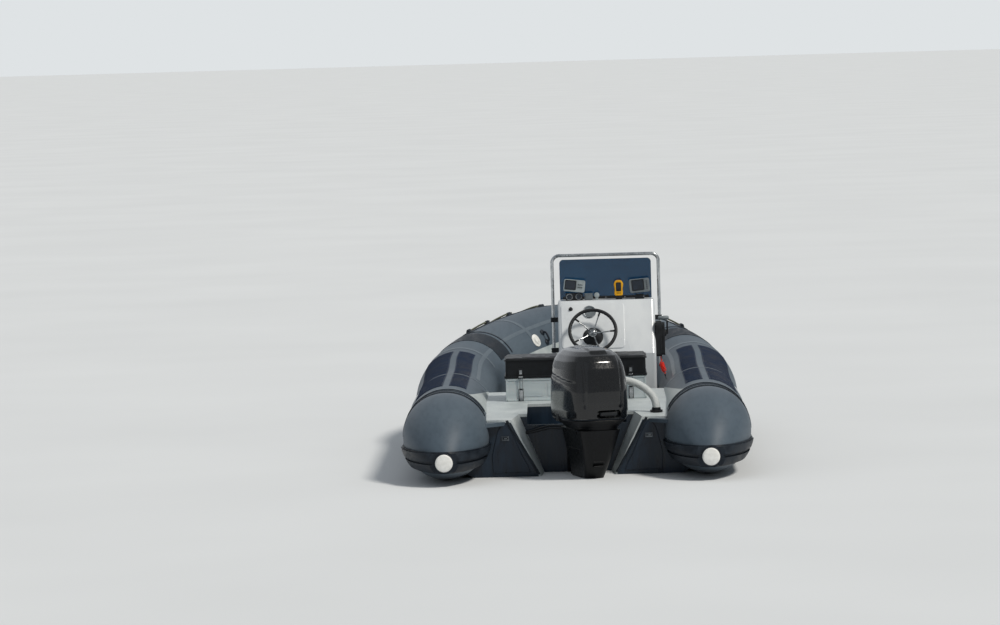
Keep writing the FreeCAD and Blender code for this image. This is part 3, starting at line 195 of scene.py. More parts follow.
# moulded ABS, nylon and like plastics: fine spark-eroded texture, dull, paler where hands rub it
def mouldedPlastic(name, dark, light, roughness):
    return wornFinish(name, {"IOR": 1.5, "Specular IOR Level": 0.3}, wear=(40, 4),
                      colours=((0.35, dark), (0.75, light)), roughness=roughness, skin=(2.5, 2, 0.12))


# black lacquer of the engine cowl over moulded plastic: deep clear coat, slow waves, water spots
def cowlLacquer():
    constants = {"IOR": 1.5, "Coat Weight": 0.6, "Coat Roughness": 0.07, "Specular IOR Level": 0.3}
    material, tree, shader = newMaterial("cowlLacquer", constants)
    spots = grain(tree, 12, 3)
    feed(tree, shader, colour=shades(tree, grain(tree, 200, 3), ((0.3, "#07080A"), (0.7, "#0E1013"))),
         roughness=spread(tree, spots, 0.14, 0.3))
    relief(tree, shader, (grain(tree, 160, 1), 0.5))
    return material


# red polyurethane coiled cord: smooth, even, half gloss
def redPolyurethane():
    material, tree, shader = newMaterial("redPolyurethaneCord", {"IOR": 1.5})
    feed(tree, shader, colour=shades(tree, grain(tree, 8, 2), ((0.3, "#DC2414"), (0.7, "#EE3620"))),
         roughness=spread(tree, grain(tree, 6, 2), 0.25, 0.4))
    return material


# braided polyester rope, faded olive grey: plaits show as small slanted strands
def braidedRope():
    material, tree, shader = newMaterial("braidedOliveRope", {"IOR": 1.5, "Sheen Weight": 0.3})
    place = add(tree, "ShaderNodeTexCoord").outputs["Object"]
    plaits = add(tree, "ShaderNodeTexVoronoi", {"Vector": place, "Scale": 1000 / 6.0}, feature="F1")
    height = spread(tree, plaits.outputs["Distance"], 1, 0, 0.1, 0.6)
    colour = shades(tree, height, ((0.0, "#3E4133"), (0.5, "#6B6F58"), (1.0, "#8A8D75")))
    feed(tree, shader, colour=colour, roughness=spread(tree, height, 0.75, 0.9))
    relief(tree, shader, (height, 1.2))
    return material


print("stage: writing the finishes")
tubeFabric = coatedFabric()
# moulded rubber of the strakes and bands: near black with a navy cast, semi matt, chalky where it is rubbed
darkRubber = wornFinish(
    "mouldedRubber", {"IOR": 1.5, "Specular IOR Level": 0.22}, wear=(45, 5, (1, 4, 1)),
    colours=((0.35, "#171D25"), (0.75, "#29313A")), roughness=(0.42, 0.62), skin=(6, 3, 0.3))
# tread rubber glued to the tube tops: navy, rough to grip a boot, paler on worn high spots
tread = wornFinish(
    "treadRubber", {"IOR": 1.5, "Specular IOR Level": 0.25}, wear=(90, 5),
    colours=((0.3, "#101C30"), (0.7, "#1A2B44")), roughness=(0.55, 0.75), skin=(5, 2, 0.5))
# white moulded polyamide of the cone caps, valves and small fittings: clean, slightly yellowed, satin
polyamide = wornFinish(
    "mouldedPolyamide", {"IOR": 1.53}, wear=(25, 4),
    colours=((0.35, "#E0E0DC"), (0.7, "#F0F0ED")), roughness=(0.38, 0.5), skin=(3, 1, 0.08))
# dark gelcoat of the hull and pods, deepened with painted shade: polished once, a little dull, streaked by
# water
dullGelcoat = {"IOR": 1.55, "Specular IOR Level": 0.2, "Coat Weight": 0.12, "Coat Roughness": 0.12}
hullFinishWithPaintedShade = wornFinish(
    "darkGelcoatWithPaintedShade", dullGelcoat, wear=(55, 5, (1, 1, 5)),
    colours=((0.3, "#131D29"), (0.7, "#21303F")), roughness=(0.24, 0.4), skin=(70, 2, 0.5))
# the pods' raised panels: the hull's own dark gelcoat, deepened with painted shade, a little worn
podShadeFinish = wornFinish(
    "podPanelGelcoatPaintedShade", dullGelcoat, wear=(40, 5, (1, 1, 4)),
    colours=((0.3, "#111B27"), (0.7, "#1E2C3B")), roughness=(0.26, 0.42), skin=(60, 2, 0.4))
deckFinish = deckGelcoat()
# white gelcoat of the console: glossy off the mould, faint grey wash of salt and shoe marks low down
consoleFinish = wornFinish(
    "whiteGelcoat", {"IOR": 1.55, "Coat Weight": 0.3, "Coat Roughness": 0.1}, wear=(180, 5, (1, 1, 3)),
    colours=((0.3, "#CDD2D6"), (0.65, "#DCE0E2")), roughness=(0.25, 0.38), skin=(90, 1, 0.4))
acrylic = tintedAcrylic()
# the rails and hinges are bright, the small fittings reflect darker, the stern eyes are darker still
stainless = polishedStainless("polishedStainless", "#9DA2A6", "#C9CCCE", 0.16)
chrome = polishedStainless("polishedFitting", "#6E7276", "#B4B7B9", 0.12)
darkerStainless = polishedStainless("darkerPolishedStainless", "#3A3F44", "#666B70", 0.30)
blackPlastic = mouldedPlastic("mouldedBlackPlastic", "#15171A", "#24272B", (0.42, 0.58))
# blow moulded polyethylene of the locker's lid: black and a little waxy
lidPlastic = mouldedPlastic("blackPolyethyleneLid", "#0B0E11", "#171B20", (0.35, 0.5))
# grey rotation moulded polyethylene of the locker: waxy, soft orange peel skin, scuffs
greyBox = wornFinish(
    "rotomouldedGrey", {"IOR": 1.51, "Subsurface Weight": 0.04}, wear=(50, 6, (5, 1, 1)),
    colours=((0.3, "#A9B4B8"), (0.7, "#BEC6C8")), roughness=(0.4, 0.55), skin=(9, 2, 0.35))
# instrument cases of moulded polycarbonate blend: plain grey, even, fine texture; the port plotter's is paler
caseGrey = mouldedPlastic("instrumentCase", "#5F676C", "#757D81", (0.4, 0.5))
palePolycarbonate = mouldedPlastic("palePolycarbonateCase", "#8E989B", "#A9B2B4", (0.36, 0.46))
# yellow elastomer grip of the handheld set: soft matt plastic, faintly soiled
yellow = mouldedPlastic("yellowElastomer", "#D79A12", "#E8B01F", (0.45, 0.6))
# grey rubber of the control's grip: matt, dusty
gripGrey = mouldedPlastic("greyGripRubber", "#6F777B", "#878F92", (0.5, 0.62))
lacquer = cowlLacquer()
# black enamel over cast aluminium of the engine's leg: satin, casting skin shows through
enamel = wornFinish(
    "blackEnamelOnCasting", {"IOR": 1.5, "Specular IOR Level": 0.2}, wear=(18, 4),
    colours=((0.3, "#08090B"), (0.75, "#121417")), roughness=(0.3, 0.48), skin=(5, 3, 0.25))
# grey ribbed polyethylene hose: pale, matt, a little dirt between the ribs
paleHose = wornFinish(
    "ribbedPaleHose", {"IOR": 1.51}, wear=(30, 4),
    colours=((0.3, "#BCC2C2"), (0.7, "#D2D6D5")), roughness=(0.45, 0.6), skin=(3, 2, 0.15))
redCord = redPolyurethane()
oliveRope = braidedRope()
# white vinyl patches: thin printed film, smooth, dirt in small clouds
vinyl = wornFinish(
    "whiteVinyl", {"IOR": 1.5}, wear=(20, 4),
    colours=((0.3, "#CCD1D4"), (0.65, "#E4E7E8")), roughness=(0.35, 0.5))
# switched off display glass: near black with a blue cast, smooth, faint smears
screenGlass = wornFinish(
    "displayGlass", {"IOR": 1.5, "Coat Weight": 0.6, "Coat Roughness": 0.03}, wear=(30, 3, (1, 3, 1)),
    colours=((0.3, "#121A24"), (0.7, "#1B2633")), roughness=(0.08, 0.2))
# the tubes' own fabric in narrow tapes over the seams: nearly the tubes' shade, faintly worn
seamFabric = wornFinish(
    "seamTapeFabric", {"IOR": 1.5, "Sheen Weight": 0.12}, wear=(40, 4),
    colours=((0.3, "#4C5964"), (0.7, "#596670")), roughness=(0.46, 0.58), skin=(4, 1, 0.25))
# pale grey fabric of the flaps that join the deck to the tubes: same coating, scuffed by feet
flapFabric = wornFinish(
    "paleFlapFabric", {"IOR": 1.5, "Sheen Weight": 0.1}, wear=(90, 5),
    colours=((0.3, "#9FA9AB"), (0.7, "#B4BBBB")), roughness=(0.48, 0.6), skin=(4, 1, 0.25))

finishOfSlot = {
    "tube_fabric": tubeFabric, "gusset_fabric": tubeFabric, "dark_rubber": darkRubber, "tread_rubber": tread,
    "cap_plastic": polyamide, "white_vinyl": vinyl, "hull_gelcoat": hullFinishWithPaintedShade, "deck_gelcoat": deckFinish,
    "console_gelcoat": consoleFinish, "screen": acrylic, "stainless": stainless, "chrome_fittings": chrome,
    "black_plastic": blackPlastic, "lid_plastic": lidPlastic, "box_plastic": greyBox, "instrument": caseGrey,
    "yellow_plastic": yellow, "cowl_paint": lacquer, "engine_paint": enamel, "hose_plastic": paleHose,
    "cord_red": redCord, "rope": oliveRope,
}
slotOfNode = {part["node"]: part["material_slot"] for part in frame["record"]["subparts"]}
for name, item in cad.items():
    item.data.materials.clear()
    item.data.materials.append(finishOfSlot[slotOfNode[name]])


# Making pieces: each is built in its final place, then gets its finish and its body

# a place at the spot, turned there by so many degrees about one axis after another
def placeAt(spot, *turns):
    place = Matrix.Translation(spot)
    for degrees, axis in turns:
        place = place @ Matrix.Rotation(math.radians(degrees), 4, axis)
    return place


def boxOn(shape, low, high, place=Matrix()):
    middle = (Vector(low) + Vector(high)) / 2
    across = Vector(high) - Vector(low)
    matrix = place @ Matrix.Translation(middle) @ Matrix.Diagonal((*across, 1))
    bmesh.ops.create_cube(shape, size=1.0, matrix=matrix)


def rodOn(shape, start, end, radius, endRadius=None, sides=16, place=Matrix()):
    axis = Vector(end) - Vector(start)
    turn = axis.to_track_quat("Z", "Y").to_matrix().to_4x4()
    middle = Matrix.Translation((Vector(start) + Vector(end)) / 2)
    last = radius if endRadius is None else endRadius
    bmesh.ops.create_cone(shape, cap_ends=True, segments=sides, radius1=radius, radius2=last,
                          depth=axis.length, matrix=place @ middle @ turn)


# turns a list of (radius, height) about the local Z axis
def latheOn(shape, profile, place=Matrix(), sides=32):
    rings = []
    for radius, height in profile:
        count = sides if radius > 1e-6 else 1
        turns = [2 * math.pi * index / sides for index in range(count)]
        rings.append([shape.verts.new(place @ Vector((radius * math.cos(t), radius * math.sin(t), height)))
                      for t in turns])
    for ring, following in zip(rings, rings[1:]):
        for index in range(sides):
            after = (index + 1) % sides
            corners = [ring[index % len(ring)], ring[after % len(ring)],
                       following[after % len(following)], following[index % len(following)]]
            corners = list(dict.fromkeys(corners))
            if len(corners) > 2:
                shape.faces.new(corners)
    for ring in (rings[0], rings[-1]):
        if len(ring) > 2:
            shape.faces.new(ring)


# a flat outline of (x, y) pushed along the local Z axis
def plateOn(shape, outline, thick, place=Matrix()):
    low = [shape.verts.new(place @ Vector((x, y, 0))) for x, y in outline]
    high = [shape.verts.new(place @ Vector((x, y, thick))) for x, y in outline]
    shape.faces.new(low)
    shape.faces.new(high)
    for index in range(len(low)):
        after = (index + 1) % len(low)
        shape.faces.new((low[index], low[after], high[after], high[index]))


def roundedOutline(halfX, halfY, radius, steps=6):
    points = []
    for corner in range(4):
        side = 1 if corner in (0, 3) else -1
        up = 1 if corner < 2 else -1
        for step in range(steps + 1):
            angle = math.radians(90 * (corner + step / steps))
            points.append((side * (halfX - radius) + radius * math.cos(angle),
                           up * (halfY - radius) + radius * math.sin(angle)))
    return points


# rings of points joined one to the next; caps close the first and last ring
def gridOn(shape, rows, caps=False):
    made = [[shape.verts.new(point) for point in row] for row in rows]
    for row, following in zip(made, made[1:]):
        for index in range(len(row)):
            after = (index + 1) % len(row)
            shape.faces.new((row[index], row[after], following[after], following[index]))
    if caps:
        shape.faces.new(made[0])
        shape.faces.new(made[-1])


# the route's NURBS curve, then a round tube on it
def routeCurve(points, radius, steps, sides=12):
    curve = bpy.data.curves.new("route", "CURVE")
    curve.dimensions = "3D"
    curve.bevel_depth = radius
    curve.bevel_resolution = sides // 2 - 2
    curve.resolution_u = steps
    curve.use_fill_caps = True
    spline = curve.splines.new("NURBS")
    spline.points.add(len(points) - 1)
    for point, target in zip(points, spline.points):
        target.co = (*point, 1.0)
    spline.order_u = 3
    spline.use_endpoint_u = True
    return curve


def meshOf(item):
    bpy.context.view_layer.update()
    graph = bpy.context.evaluated_depsgraph_get()
    return bpy.data.meshes.new_from_object(item.evaluated_get(graph))


def sweepOn(shape, points, radius, steps, sides):
    item = bpy.data.objects.new("route", routeCurve(points, radius, steps, sides))
    scene.collection.objects.link(item)
    mesh = meshOf(item)
    shape.from_mesh(mesh)
    bpy.data.objects.remove(item)
    bpy.data.meshes.remove(mesh)


# smooth faces, with sharp edges past the angle
def soften(mesh, degrees):
    mesh.polygons.foreach_set("use_smooth", [True] * len(mesh.polygons))
    mesh.set_sharp_from_angle(angle=math.radians(degrees))


# links an object and says what it rides on and which solids it stands for
def declare(item, body, replaces):
    scene.collection.objects.link(item)
    if body:
        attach(item, body)
    if replaces:
        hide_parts(*replaces)
    return item


def makePiece(name, shape, material, body="boat", replaces=(), bevel=0.0, steps=2, smooth=38):
    bmesh.ops.remove_doubles(shape, verts=shape.verts, dist=1e-6)
    bmesh.ops.recalc_face_normals(shape, faces=shape.faces)
    mesh = bpy.data.meshes.new(name)
    shape.to_mesh(mesh)
    shape.free()
    mesh.materials.append(material)
    soften(mesh, smooth)
    item = bpy.data.objects.new(name, mesh)
    if bevel:
        edge = item.modifiers.new("edge", "BEVEL")
        edge.width = bevel
        edge.segments = steps
        edge.limit_method = "ANGLE"
        edge.angle_limit = math.radians(30)
        edge.harden_normals = True
    return declare(item, body, replaces)


# The helm: sizes in metres; the dash leans, and the wheel leans with its shaft
helm = {"kneeY": 2.100, "kneeZ": 0.690, "topY": 2.330, "topZ": 1.078, "centreX": 0.240, "width": 0.725,
        "panelLeft": -0.100, "panelRight": 0.372, "panelLow": 0.045, "panelHigh": 0.425, "panelThick": 0.007,
        "panelSunk": 0.003, "panelCorner": 0.030}
dashLean = math.degrees(math.atan2(helm["topY"] - helm["kneeY"], helm["topZ"] - helm["kneeZ"]))
# local X to starboard, local Y up the dash from the knee, local Z out of it
dashPlace = placeAt((0, helm["kneeY"], helm["kneeZ"]), (90 - dashLean, "X"))
# what stands on a surface keeps this gap from it
seatGap = 0.0004


def makeDash(sizes):
    shape = bmesh.new()
    middleX = (sizes["panelLeft"] + sizes["panelRight"]) / 2
    middleY = (sizes["panelLow"] + sizes["panelHigh"]) / 2
    halfX = (sizes["panelRight"] - sizes["panelLeft"]) / 2
    halfY = (sizes["panelHigh"] - sizes["panelLow"]) / 2
    place = dashPlace @ Matrix.Translation((middleX, middleY, -sizes["panelSunk"]))
    outline = roundedOutline(halfX, halfY, sizes["panelCorner"])
    plateOn(shape, outline, sizes["panelThick"] + sizes["panelSunk"], place)
    makePiece("dashPanel", shape, consoleFinish, bevel=0.004, steps=3)


# small fittings on the dash: places are across and up the dash, the needle's turn is in degrees
dashFittings = {"dialX": 0.112, "dialUp": 0.350, "dialRadius": 0.050, "ticks": 12, "needle": 48,
                "knobX": -0.027, "knobUp": 0.378}


def makeDashFittings(sizes):
    shape = bmesh.new()
    dial = dashPlace @ Matrix.Translation((sizes["dialX"], sizes["dialUp"], 0.006))
    radius = sizes["dialRadius"]
    latheOn(shape, [(radius, -0.002), (radius, 0.009), (radius - 0.004, 0.012), (radius - 0.008, 0.011),
                    (radius - 0.009, 0.006), (radius - 0.009, -0.002)], dial)
    makePiece("dialBezel", shape, stainless, smooth=50)
    shape = bmesh.new()
    latheOn(shape, [(radius - 0.0088, 0.002), (radius - 0.0088, 0.0055), (0, 0.0055)], dial)
    for tick in range(sizes["ticks"]):
        turn = Matrix.Rotation(2 * math.pi * tick / sizes["ticks"], 4, "Z")
        boxOn(shape, (-0.0008, radius - 0.020, 0.0054), (0.0008, radius - 0.013, 0.0062), dial @ turn)
    needle = dial @ Matrix.Rotation(math.radians(sizes["needle"]), 4, "Z")
    boxOn(shape, (-0.0012, -0.008, 0.0054), (0.0012, radius - 0.022, 0.0066), needle)
    makePiece("dialFace", shape, caseGrey)
    shape = bmesh.new()
    knob = dashPlace @ Matrix.Translation((sizes["knobX"], sizes["knobUp"], 0.004))
    latheOn(shape, [(0.016, -0.004), (0.016, 0.004), (0.011, 0.006), (0.011, 0.018), (0.009, 0.021),
                    (0, 0.021)], knob, 20)
    makePiece("dashKnobs", shape, blackPlastic, bevel=0.0008)


# The wheel: rim with finger grips, five thin dished spokes with sleeves, and a domed hub cap
wheel = {"x": 0.134, "height": 0.868, "lean": 31, "reach": 0.110, "radius": 0.172, "rim": 0.0128,
         "waves": 40, "waveDeep": 0.0010, "hubDrop": 0.052, "spokes": 5, "firstSpoke": 70, "spoke": 0.0050,
         "sleeve": 0.0078, "hub": 0.030}
wheelNormal = Vector((0, -math.cos(math.radians(wheel["lean"])), math.sin(math.radians(wheel["lean"]))))
dashPointZ = wheel["height"] - wheel["reach"] * wheelNormal.z
dashPointY = helm["kneeY"] + (dashPointZ - helm["kneeZ"]) * math.tan(math.radians(dashLean))
dashPoint = Vector((wheel["x"], dashPointY, dashPointZ))
wheelPlace = placeAt(dashPoint + wheelNormal * wheel["reach"], (90 - wheel["lean"], "X"))


def makeRim(sizes, around=160, section=16):
    shape = bmesh.new()
    rows = []
    for step in range(around):
        turn = 2 * math.pi * step / around
        # shallow waves on the inner side, for the fingers
        grip = sizes["waveDeep"] * math.cos(turn * sizes["waves"])
        ring = []
        for corner in range(section):
            angle = 2 * math.pi * corner / section
            reach = sizes["rim"] + grip * max(0.0, -math.cos(angle))
            out = sizes["radius"] + reach * math.cos(angle)
            point = Vector((out * math.cos(turn), out * math.sin(turn), reach * math.sin(angle)))
            ring.append(wheelPlace @ point)
        rows.append(ring)
    gridOn(shape, rows + rows[:1])
    makePiece("wheelRim", shape, blackPlastic, "helm_wheel", ("wheel_rim",), smooth=60)


def makeSpokes(sizes):
    steel = bmesh.new()
    sleeves = bmesh.new()
    hub = sizes["hub"]
    start = hub - 0.006
    hubZ = -sizes["hubDrop"] + 0.017
    for index in range(sizes["spokes"]):
        turn = math.radians(sizes["firstSpoke"] + 360 / sizes["spokes"] * index)
        out = Vector((math.cos(turn), math.sin(turn), 0))
        dish = ((start, hubZ), (start + 0.02, hubZ + 0.003), (0.105, -0.014), (0.140, -0.002),
                (sizes["radius"] - 0.006, 0))
        route = [wheelPlace @ (out * reach + Vector((0, 0, height))) for reach, height in dish]
        sweepOn(steel, route, sizes["spoke"], steps=6, sides=10)
        near, far = out * 0.128 + Vector((0, 0, -0.0055)), out * (sizes["radius"] - 0.010)
        rodOn(sleeves, near, far, sizes["spoke"] + 0.0012, sizes["sleeve"], 14, wheelPlace)
    hubBase = wheelPlace @ Matrix.Translation((0, 0, -sizes["hubDrop"]))
    dome = [(0.018, 0.002), (hub, 0.004), (hub, 0.026), (hub - 0.004, 0.031), (0.022, 0.033), (0.020, 0.037),
            (0.012, 0.041), (0, 0.0425)]
    latheOn(steel, dome, hubBase, 40)
    rodOn(steel, (0, 0, 0.004), (0, 0, -0.012), 0.012, place=hubBase, sides=20)
    makePiece("wheelSpokes", steel, chrome, "helm_wheel", ("wheel_spokes",), smooth=50)
    makePiece("spokeSleeves", sleeves, blackPlastic, "helm_wheel", bevel=0.0008)


# The housing behind the wheel: a stepped bell with a screwed flange, as on a tilting helm
housing = {"screws": 6, "screwCircle": 0.070,
           "profile": [(0.078, 0.0004), (0.078, 0.006), (0.074, 0.010), (0.066, 0.012), (0.060, 0.020),
                       (0.050, 0.032), (0.042, 0.039), (0.036, 0.0455), (0.013, 0.0455)]}


def makeHousing(sizes):
    shape = bmesh.new()
    place = placeAt(dashPoint, (90 - dashLean, "X"))
    latheOn(shape, sizes["profile"], place, 48)
    for index in range(sizes["screws"]):
        turn = Matrix.Rotation(2 * math.pi * (index + 0.5) / sizes["screws"], 4, "Z")
        latheOn(shape, [(0.0045, 0.010), (0.0045, 0.0135), (0.003, 0.0145), (0, 0.0145)],
                place @ turn @ Matrix.Translation((sizes["screwCircle"], 0, 0)), 10)
    makePiece("helmHousing", shape, blackPlastic, replaces=("helm_bezel",), smooth=45)


# Windscreen fittings: a channel with a lip on each face of the screen's foot, and the screws through it
screenSizes = {"left": -0.105, "right": 0.585, "y": 2.543, "low": 1.078, "inset": 0.020, "lipY": 0.0095,
               "lipHalf": 0.006, "lipTall": 0.020, "screws": 5, "screwInset": 0.060}


def makeScreenFittings(sizes):
    shape = bmesh.new()
    for side in (-1, 1):
        y = sizes["y"] + side * sizes["lipY"]
        boxOn(shape, (sizes["left"] + sizes["inset"], y - sizes["lipHalf"], sizes["low"] - 0.001),
              (sizes["right"] - sizes["inset"], y + sizes["lipHalf"], sizes["low"] + sizes["lipTall"]))
    makePiece("screenChannel", shape, blackPlastic, bevel=0.002)
    shape = bmesh.new()
    first, last = sizes["left"] + sizes["screwInset"], sizes["right"] - sizes["screwInset"]
    y, z = sizes["y"] - sizes["lipY"] - sizes["lipHalf"], sizes["low"] + sizes["lipTall"] / 2
    for index in range(sizes["screws"]):
        x = first + index * (last - first) / (sizes["screws"] - 1)
        latheOn(shape, [(0.0055, -0.001), (0.0055, 0.001), (0.0035, 0.003), (0, 0.0034)],
                placeAt((x, y, z), (90, "X")), 12)
    makePiece("screenScrews", shape, chrome)


# The rail's clamps: bolted blocks from the console's sides round the rail, and a collar at each foot
railSizes = {"left": -0.160, "right": 0.640, "y": 2.490, "upper": 0.930, "lower": 0.700, "foot": 0.560,
             "reach": 0.019, "half": 0.0175, "boltUp": 0.010}


def makeRailClamps(sizes):
    blocks = bmesh.new()
    bolts = bmesh.new()
    half = sizes["half"]
    console = (helm["centreX"] - helm["width"] / 2, helm["centreX"] + helm["width"] / 2)
    for x, face, side in ((sizes["left"], console[0], -1), (sizes["right"], console[1], 1)):
        outer = x + side * sizes["reach"]
        for height in (sizes["upper"], sizes["lower"]):
            left, right = sorted((face + side * 0.0006, outer))
            boxOn(blocks, (left, sizes["y"] - half, height - half), (right, sizes["y"] + half, height + half))
            for up in (-sizes["boltUp"], sizes["boltUp"]):
                spot = Vector((outer, sizes["y"], height + up))
                rodOn(bolts, spot, spot + Vector((side * 0.003, 0, 0)), 0.0045, 0.0035, 12)
        foot = Vector((x, sizes["y"], sizes["foot"]))
        rodOn(blocks, foot - Vector((0, 0, 0.002)), foot + Vector((0, 0, 0.016)), 0.0145, 0.0138, 24)
    makePiece("railClamps", blocks, blackPlastic, bevel=0.004, steps=3)
    makePiece("railBolts", bolts, chrome)


# Instruments: case, frame, dark screen, keys and bracket; sizes in metres from the console's top.
# A turn is yaw and roll in degrees, a screen is its middle and size, keys are columns, lines, place and step
instrumentRows = [
    {"name": "portPlotter", "node": "plotter_port", "x": 0.006, "low": 0.062, "across": 0.160, "tall": 0.092,
     "deep": 0.040, "turn": (-8, 6), "screen": (-0.028, 0.004, 0.074, 0.060), "keys": (3, 2, 0.032, 0.020),
     "case": "pale"},
    {"name": "starboardPlotter", "node": "plotter_starboard", "x": 0.492, "low": 0.046, "across": 0.154,
     "tall": 0.104, "deep": 0.040, "turn": (6, -4), "screen": (-0.012, 0.004, 0.082, 0.070),
     "keys": (1, 5, 0.054, 0.014), "case": "dark"},
]
instrumentLean = 80


def makeInstrument(row):
    yaw, roll = row["turn"]
    middle = Vector((row["x"], helm["topY"] + 0.062, helm["topZ"] + row["low"] + row["tall"] / 2))
    place = placeAt(middle, (yaw, "Z"), (roll, "Y"), (instrumentLean, "X"))
    deep = row["deep"]
    shape = bmesh.new()
    halfX, halfY = row["across"] / 2, row["tall"] / 2
    plateOn(shape, roundedOutline(halfX - 0.012, halfY - 0.010, 0.014), deep * 0.55,
            place @ Matrix.Translation((0, 0, -deep / 2)))
    plateOn(shape, roundedOutline(halfX, halfY, 0.014), deep * 0.42,
            place @ Matrix.Translation((0, 0, deep * 0.05)))
    makePiece(row["name"] + "Case", shape, palePolycarbonate if row["case"] == "pale" else caseGrey,
              replaces=(row["node"],), bevel=0.004, steps=3)
    makeDisplay(row, place, deep * 0.47)
    makeBracket(row)


# the screen's glass in its raised frame, and the keys beside it, all on the case's face
def makeDisplay(row, place, face):
    screenX, screenY, across, tall = row["screen"]
    window = place @ Matrix.Translation((screenX, screenY, face))
    shape = bmesh.new()
    plateOn(shape, roundedOutline(across / 2, tall / 2, 0.004, 3), 0.0012, window)
    makePiece(row["name"] + "Screen", shape, screenGlass, bevel=0.0005)
    shape = bmesh.new()
    outer = roundedOutline(across / 2 + 0.006, tall / 2 + 0.006, 0.007, 4)
    inner = roundedOutline(across / 2 + 0.0005, tall / 2 + 0.0005, 0.004, 4)
    rows = [[window @ Vector((x, y, height)) for x, y in ring]
            for ring, height in ((outer, 0), (outer, 0.003), (inner, 0.003), (inner, 0))]
    gridOn(shape, rows + rows[:1])
    makePiece(row["name"] + "Frame", shape, blackPlastic, bevel=0.0006)
    columns, lines, keyX, step = row["keys"]
    shape = bmesh.new()
    for column in range(columns):
        for line in range(lines):
            spot = place @ Matrix.Translation((keyX + column * 0.013, (line - (lines - 1) / 2) * step, face))
            plateOn(shape, roundedOutline(0.0045, 0.0035, 0.002, 2), 0.0028, spot)
    makePiece(row["name"] + "Keys", shape, blackPlastic, bevel=0.0006)


# two cheeks, a cross bar between them and a foot on the console
def makeBracket(row):
    x, y, top = row["x"], helm["topY"] + 0.070, helm["topZ"]
    shape = bmesh.new()
    for side in (-1, 1):
        cheek = [(-0.016, 0), (0.016, 0), (0.011, row["low"] + 0.020), (-0.011, row["low"] + 0.020)]
        plateOn(shape, cheek, 0.004, placeAt((x + side * 0.026, y, top), (90, "Z"), (90, "X")))
    boxOn(shape, (x - 0.034, y - 0.022, top + seatGap), (x + 0.034, y + 0.022, top + 0.007))
    boxOn(shape, (x - 0.030, y - 0.014, top + 0.030), (x + 0.030, y + 0.014, top + 0.036))
    makePiece(row["name"] + "Bracket", shape, blackPlastic, bevel=0.0015)


# Under the port plotter two gauges in one case, beside it a grey box and a small round lamp
smallSizes = {"twinX": (-0.034, 0.036), "twinUp": 0.028, "twinRadius": 0.023, "twinLean": 86, "boxX": 0.110,
              "boxHalf": 0.031, "boxTall": 0.050, "lampX": 0.171, "lampUp": 0.036, "lampRadius": 0.020,
              "lampLean": 84}


def makeTwinGauges(sizes):
    top = helm["topZ"]
    y = helm["topY"] + 0.050
    cases = bmesh.new()
    glass = bmesh.new()
    metal = bmesh.new()
    left, right = sizes["twinX"]
    boxOn(cases, (left - 0.030, y - 0.010, top + seatGap), (right + 0.030, y + 0.040, top + 0.054))
    radius = sizes["twinRadius"]
    for x in sizes["twinX"]:
        spot = placeAt((x, y - 0.010, top + sizes["twinUp"]), (sizes["twinLean"], "X"))
        latheOn(metal, [(radius + 0.001, -0.004), (radius + 0.001, 0.005), (radius - 0.0035, 0.006),
                        (radius - 0.0035, 0.001)], spot, 28)
        latheOn(glass, [(radius - 0.003, -0.003), (radius - 0.003, 0.0025), (0, 0.0025)], spot, 28)
    makePiece("gaugeCase", cases, blackPlastic, replaces=("small_meters",), bevel=0.004)
    makePiece("gaugeRings", metal, chrome)
    makePiece("gaugeGlasses", glass, screenGlass)


def makeBoxAndLamp(sizes):
    top = helm["topZ"]
    y = helm["topY"] + 0.050
    box = bmesh.new()
    left, right = sizes["boxX"] - sizes["boxHalf"], sizes["boxX"] + sizes["boxHalf"]
    high = top + sizes["boxTall"]
    boxOn(box, (left, y, top + seatGap), (right, y + 0.046, high))
    boxOn(box, (left + 0.006, y - 0.003, top + 0.008), (right - 0.006, y + 0.002, high - 0.008))
    makePiece("greyUnit", box, caseGrey, bevel=0.003)
    lamp = bmesh.new()
    x, radius = sizes["lampX"], sizes["lampRadius"]
    dome = [(radius * 0.6, -0.030), (radius, -0.010), (radius, 0.004), (radius - 0.003, 0.007), (0, 0.008)]
    latheOn(lamp, dome, placeAt((x, y + 0.004, top + sizes["lampUp"]), (sizes["lampLean"], "X")), 28)
    boxOn(lamp, (x - 0.010, y, top + seatGap), (x + 0.010, y + 0.030, top + 0.024))
    makePiece("roundUnit", lamp, palePolycarbonate, bevel=0.001)


# The handheld set in its holder: a waisted case with a screen, three keys and a short aerial
handheldSizes = {"x": 0.336, "low": 0.026, "across": 0.072, "tall": 0.118, "deep": 0.036, "lean": 82}


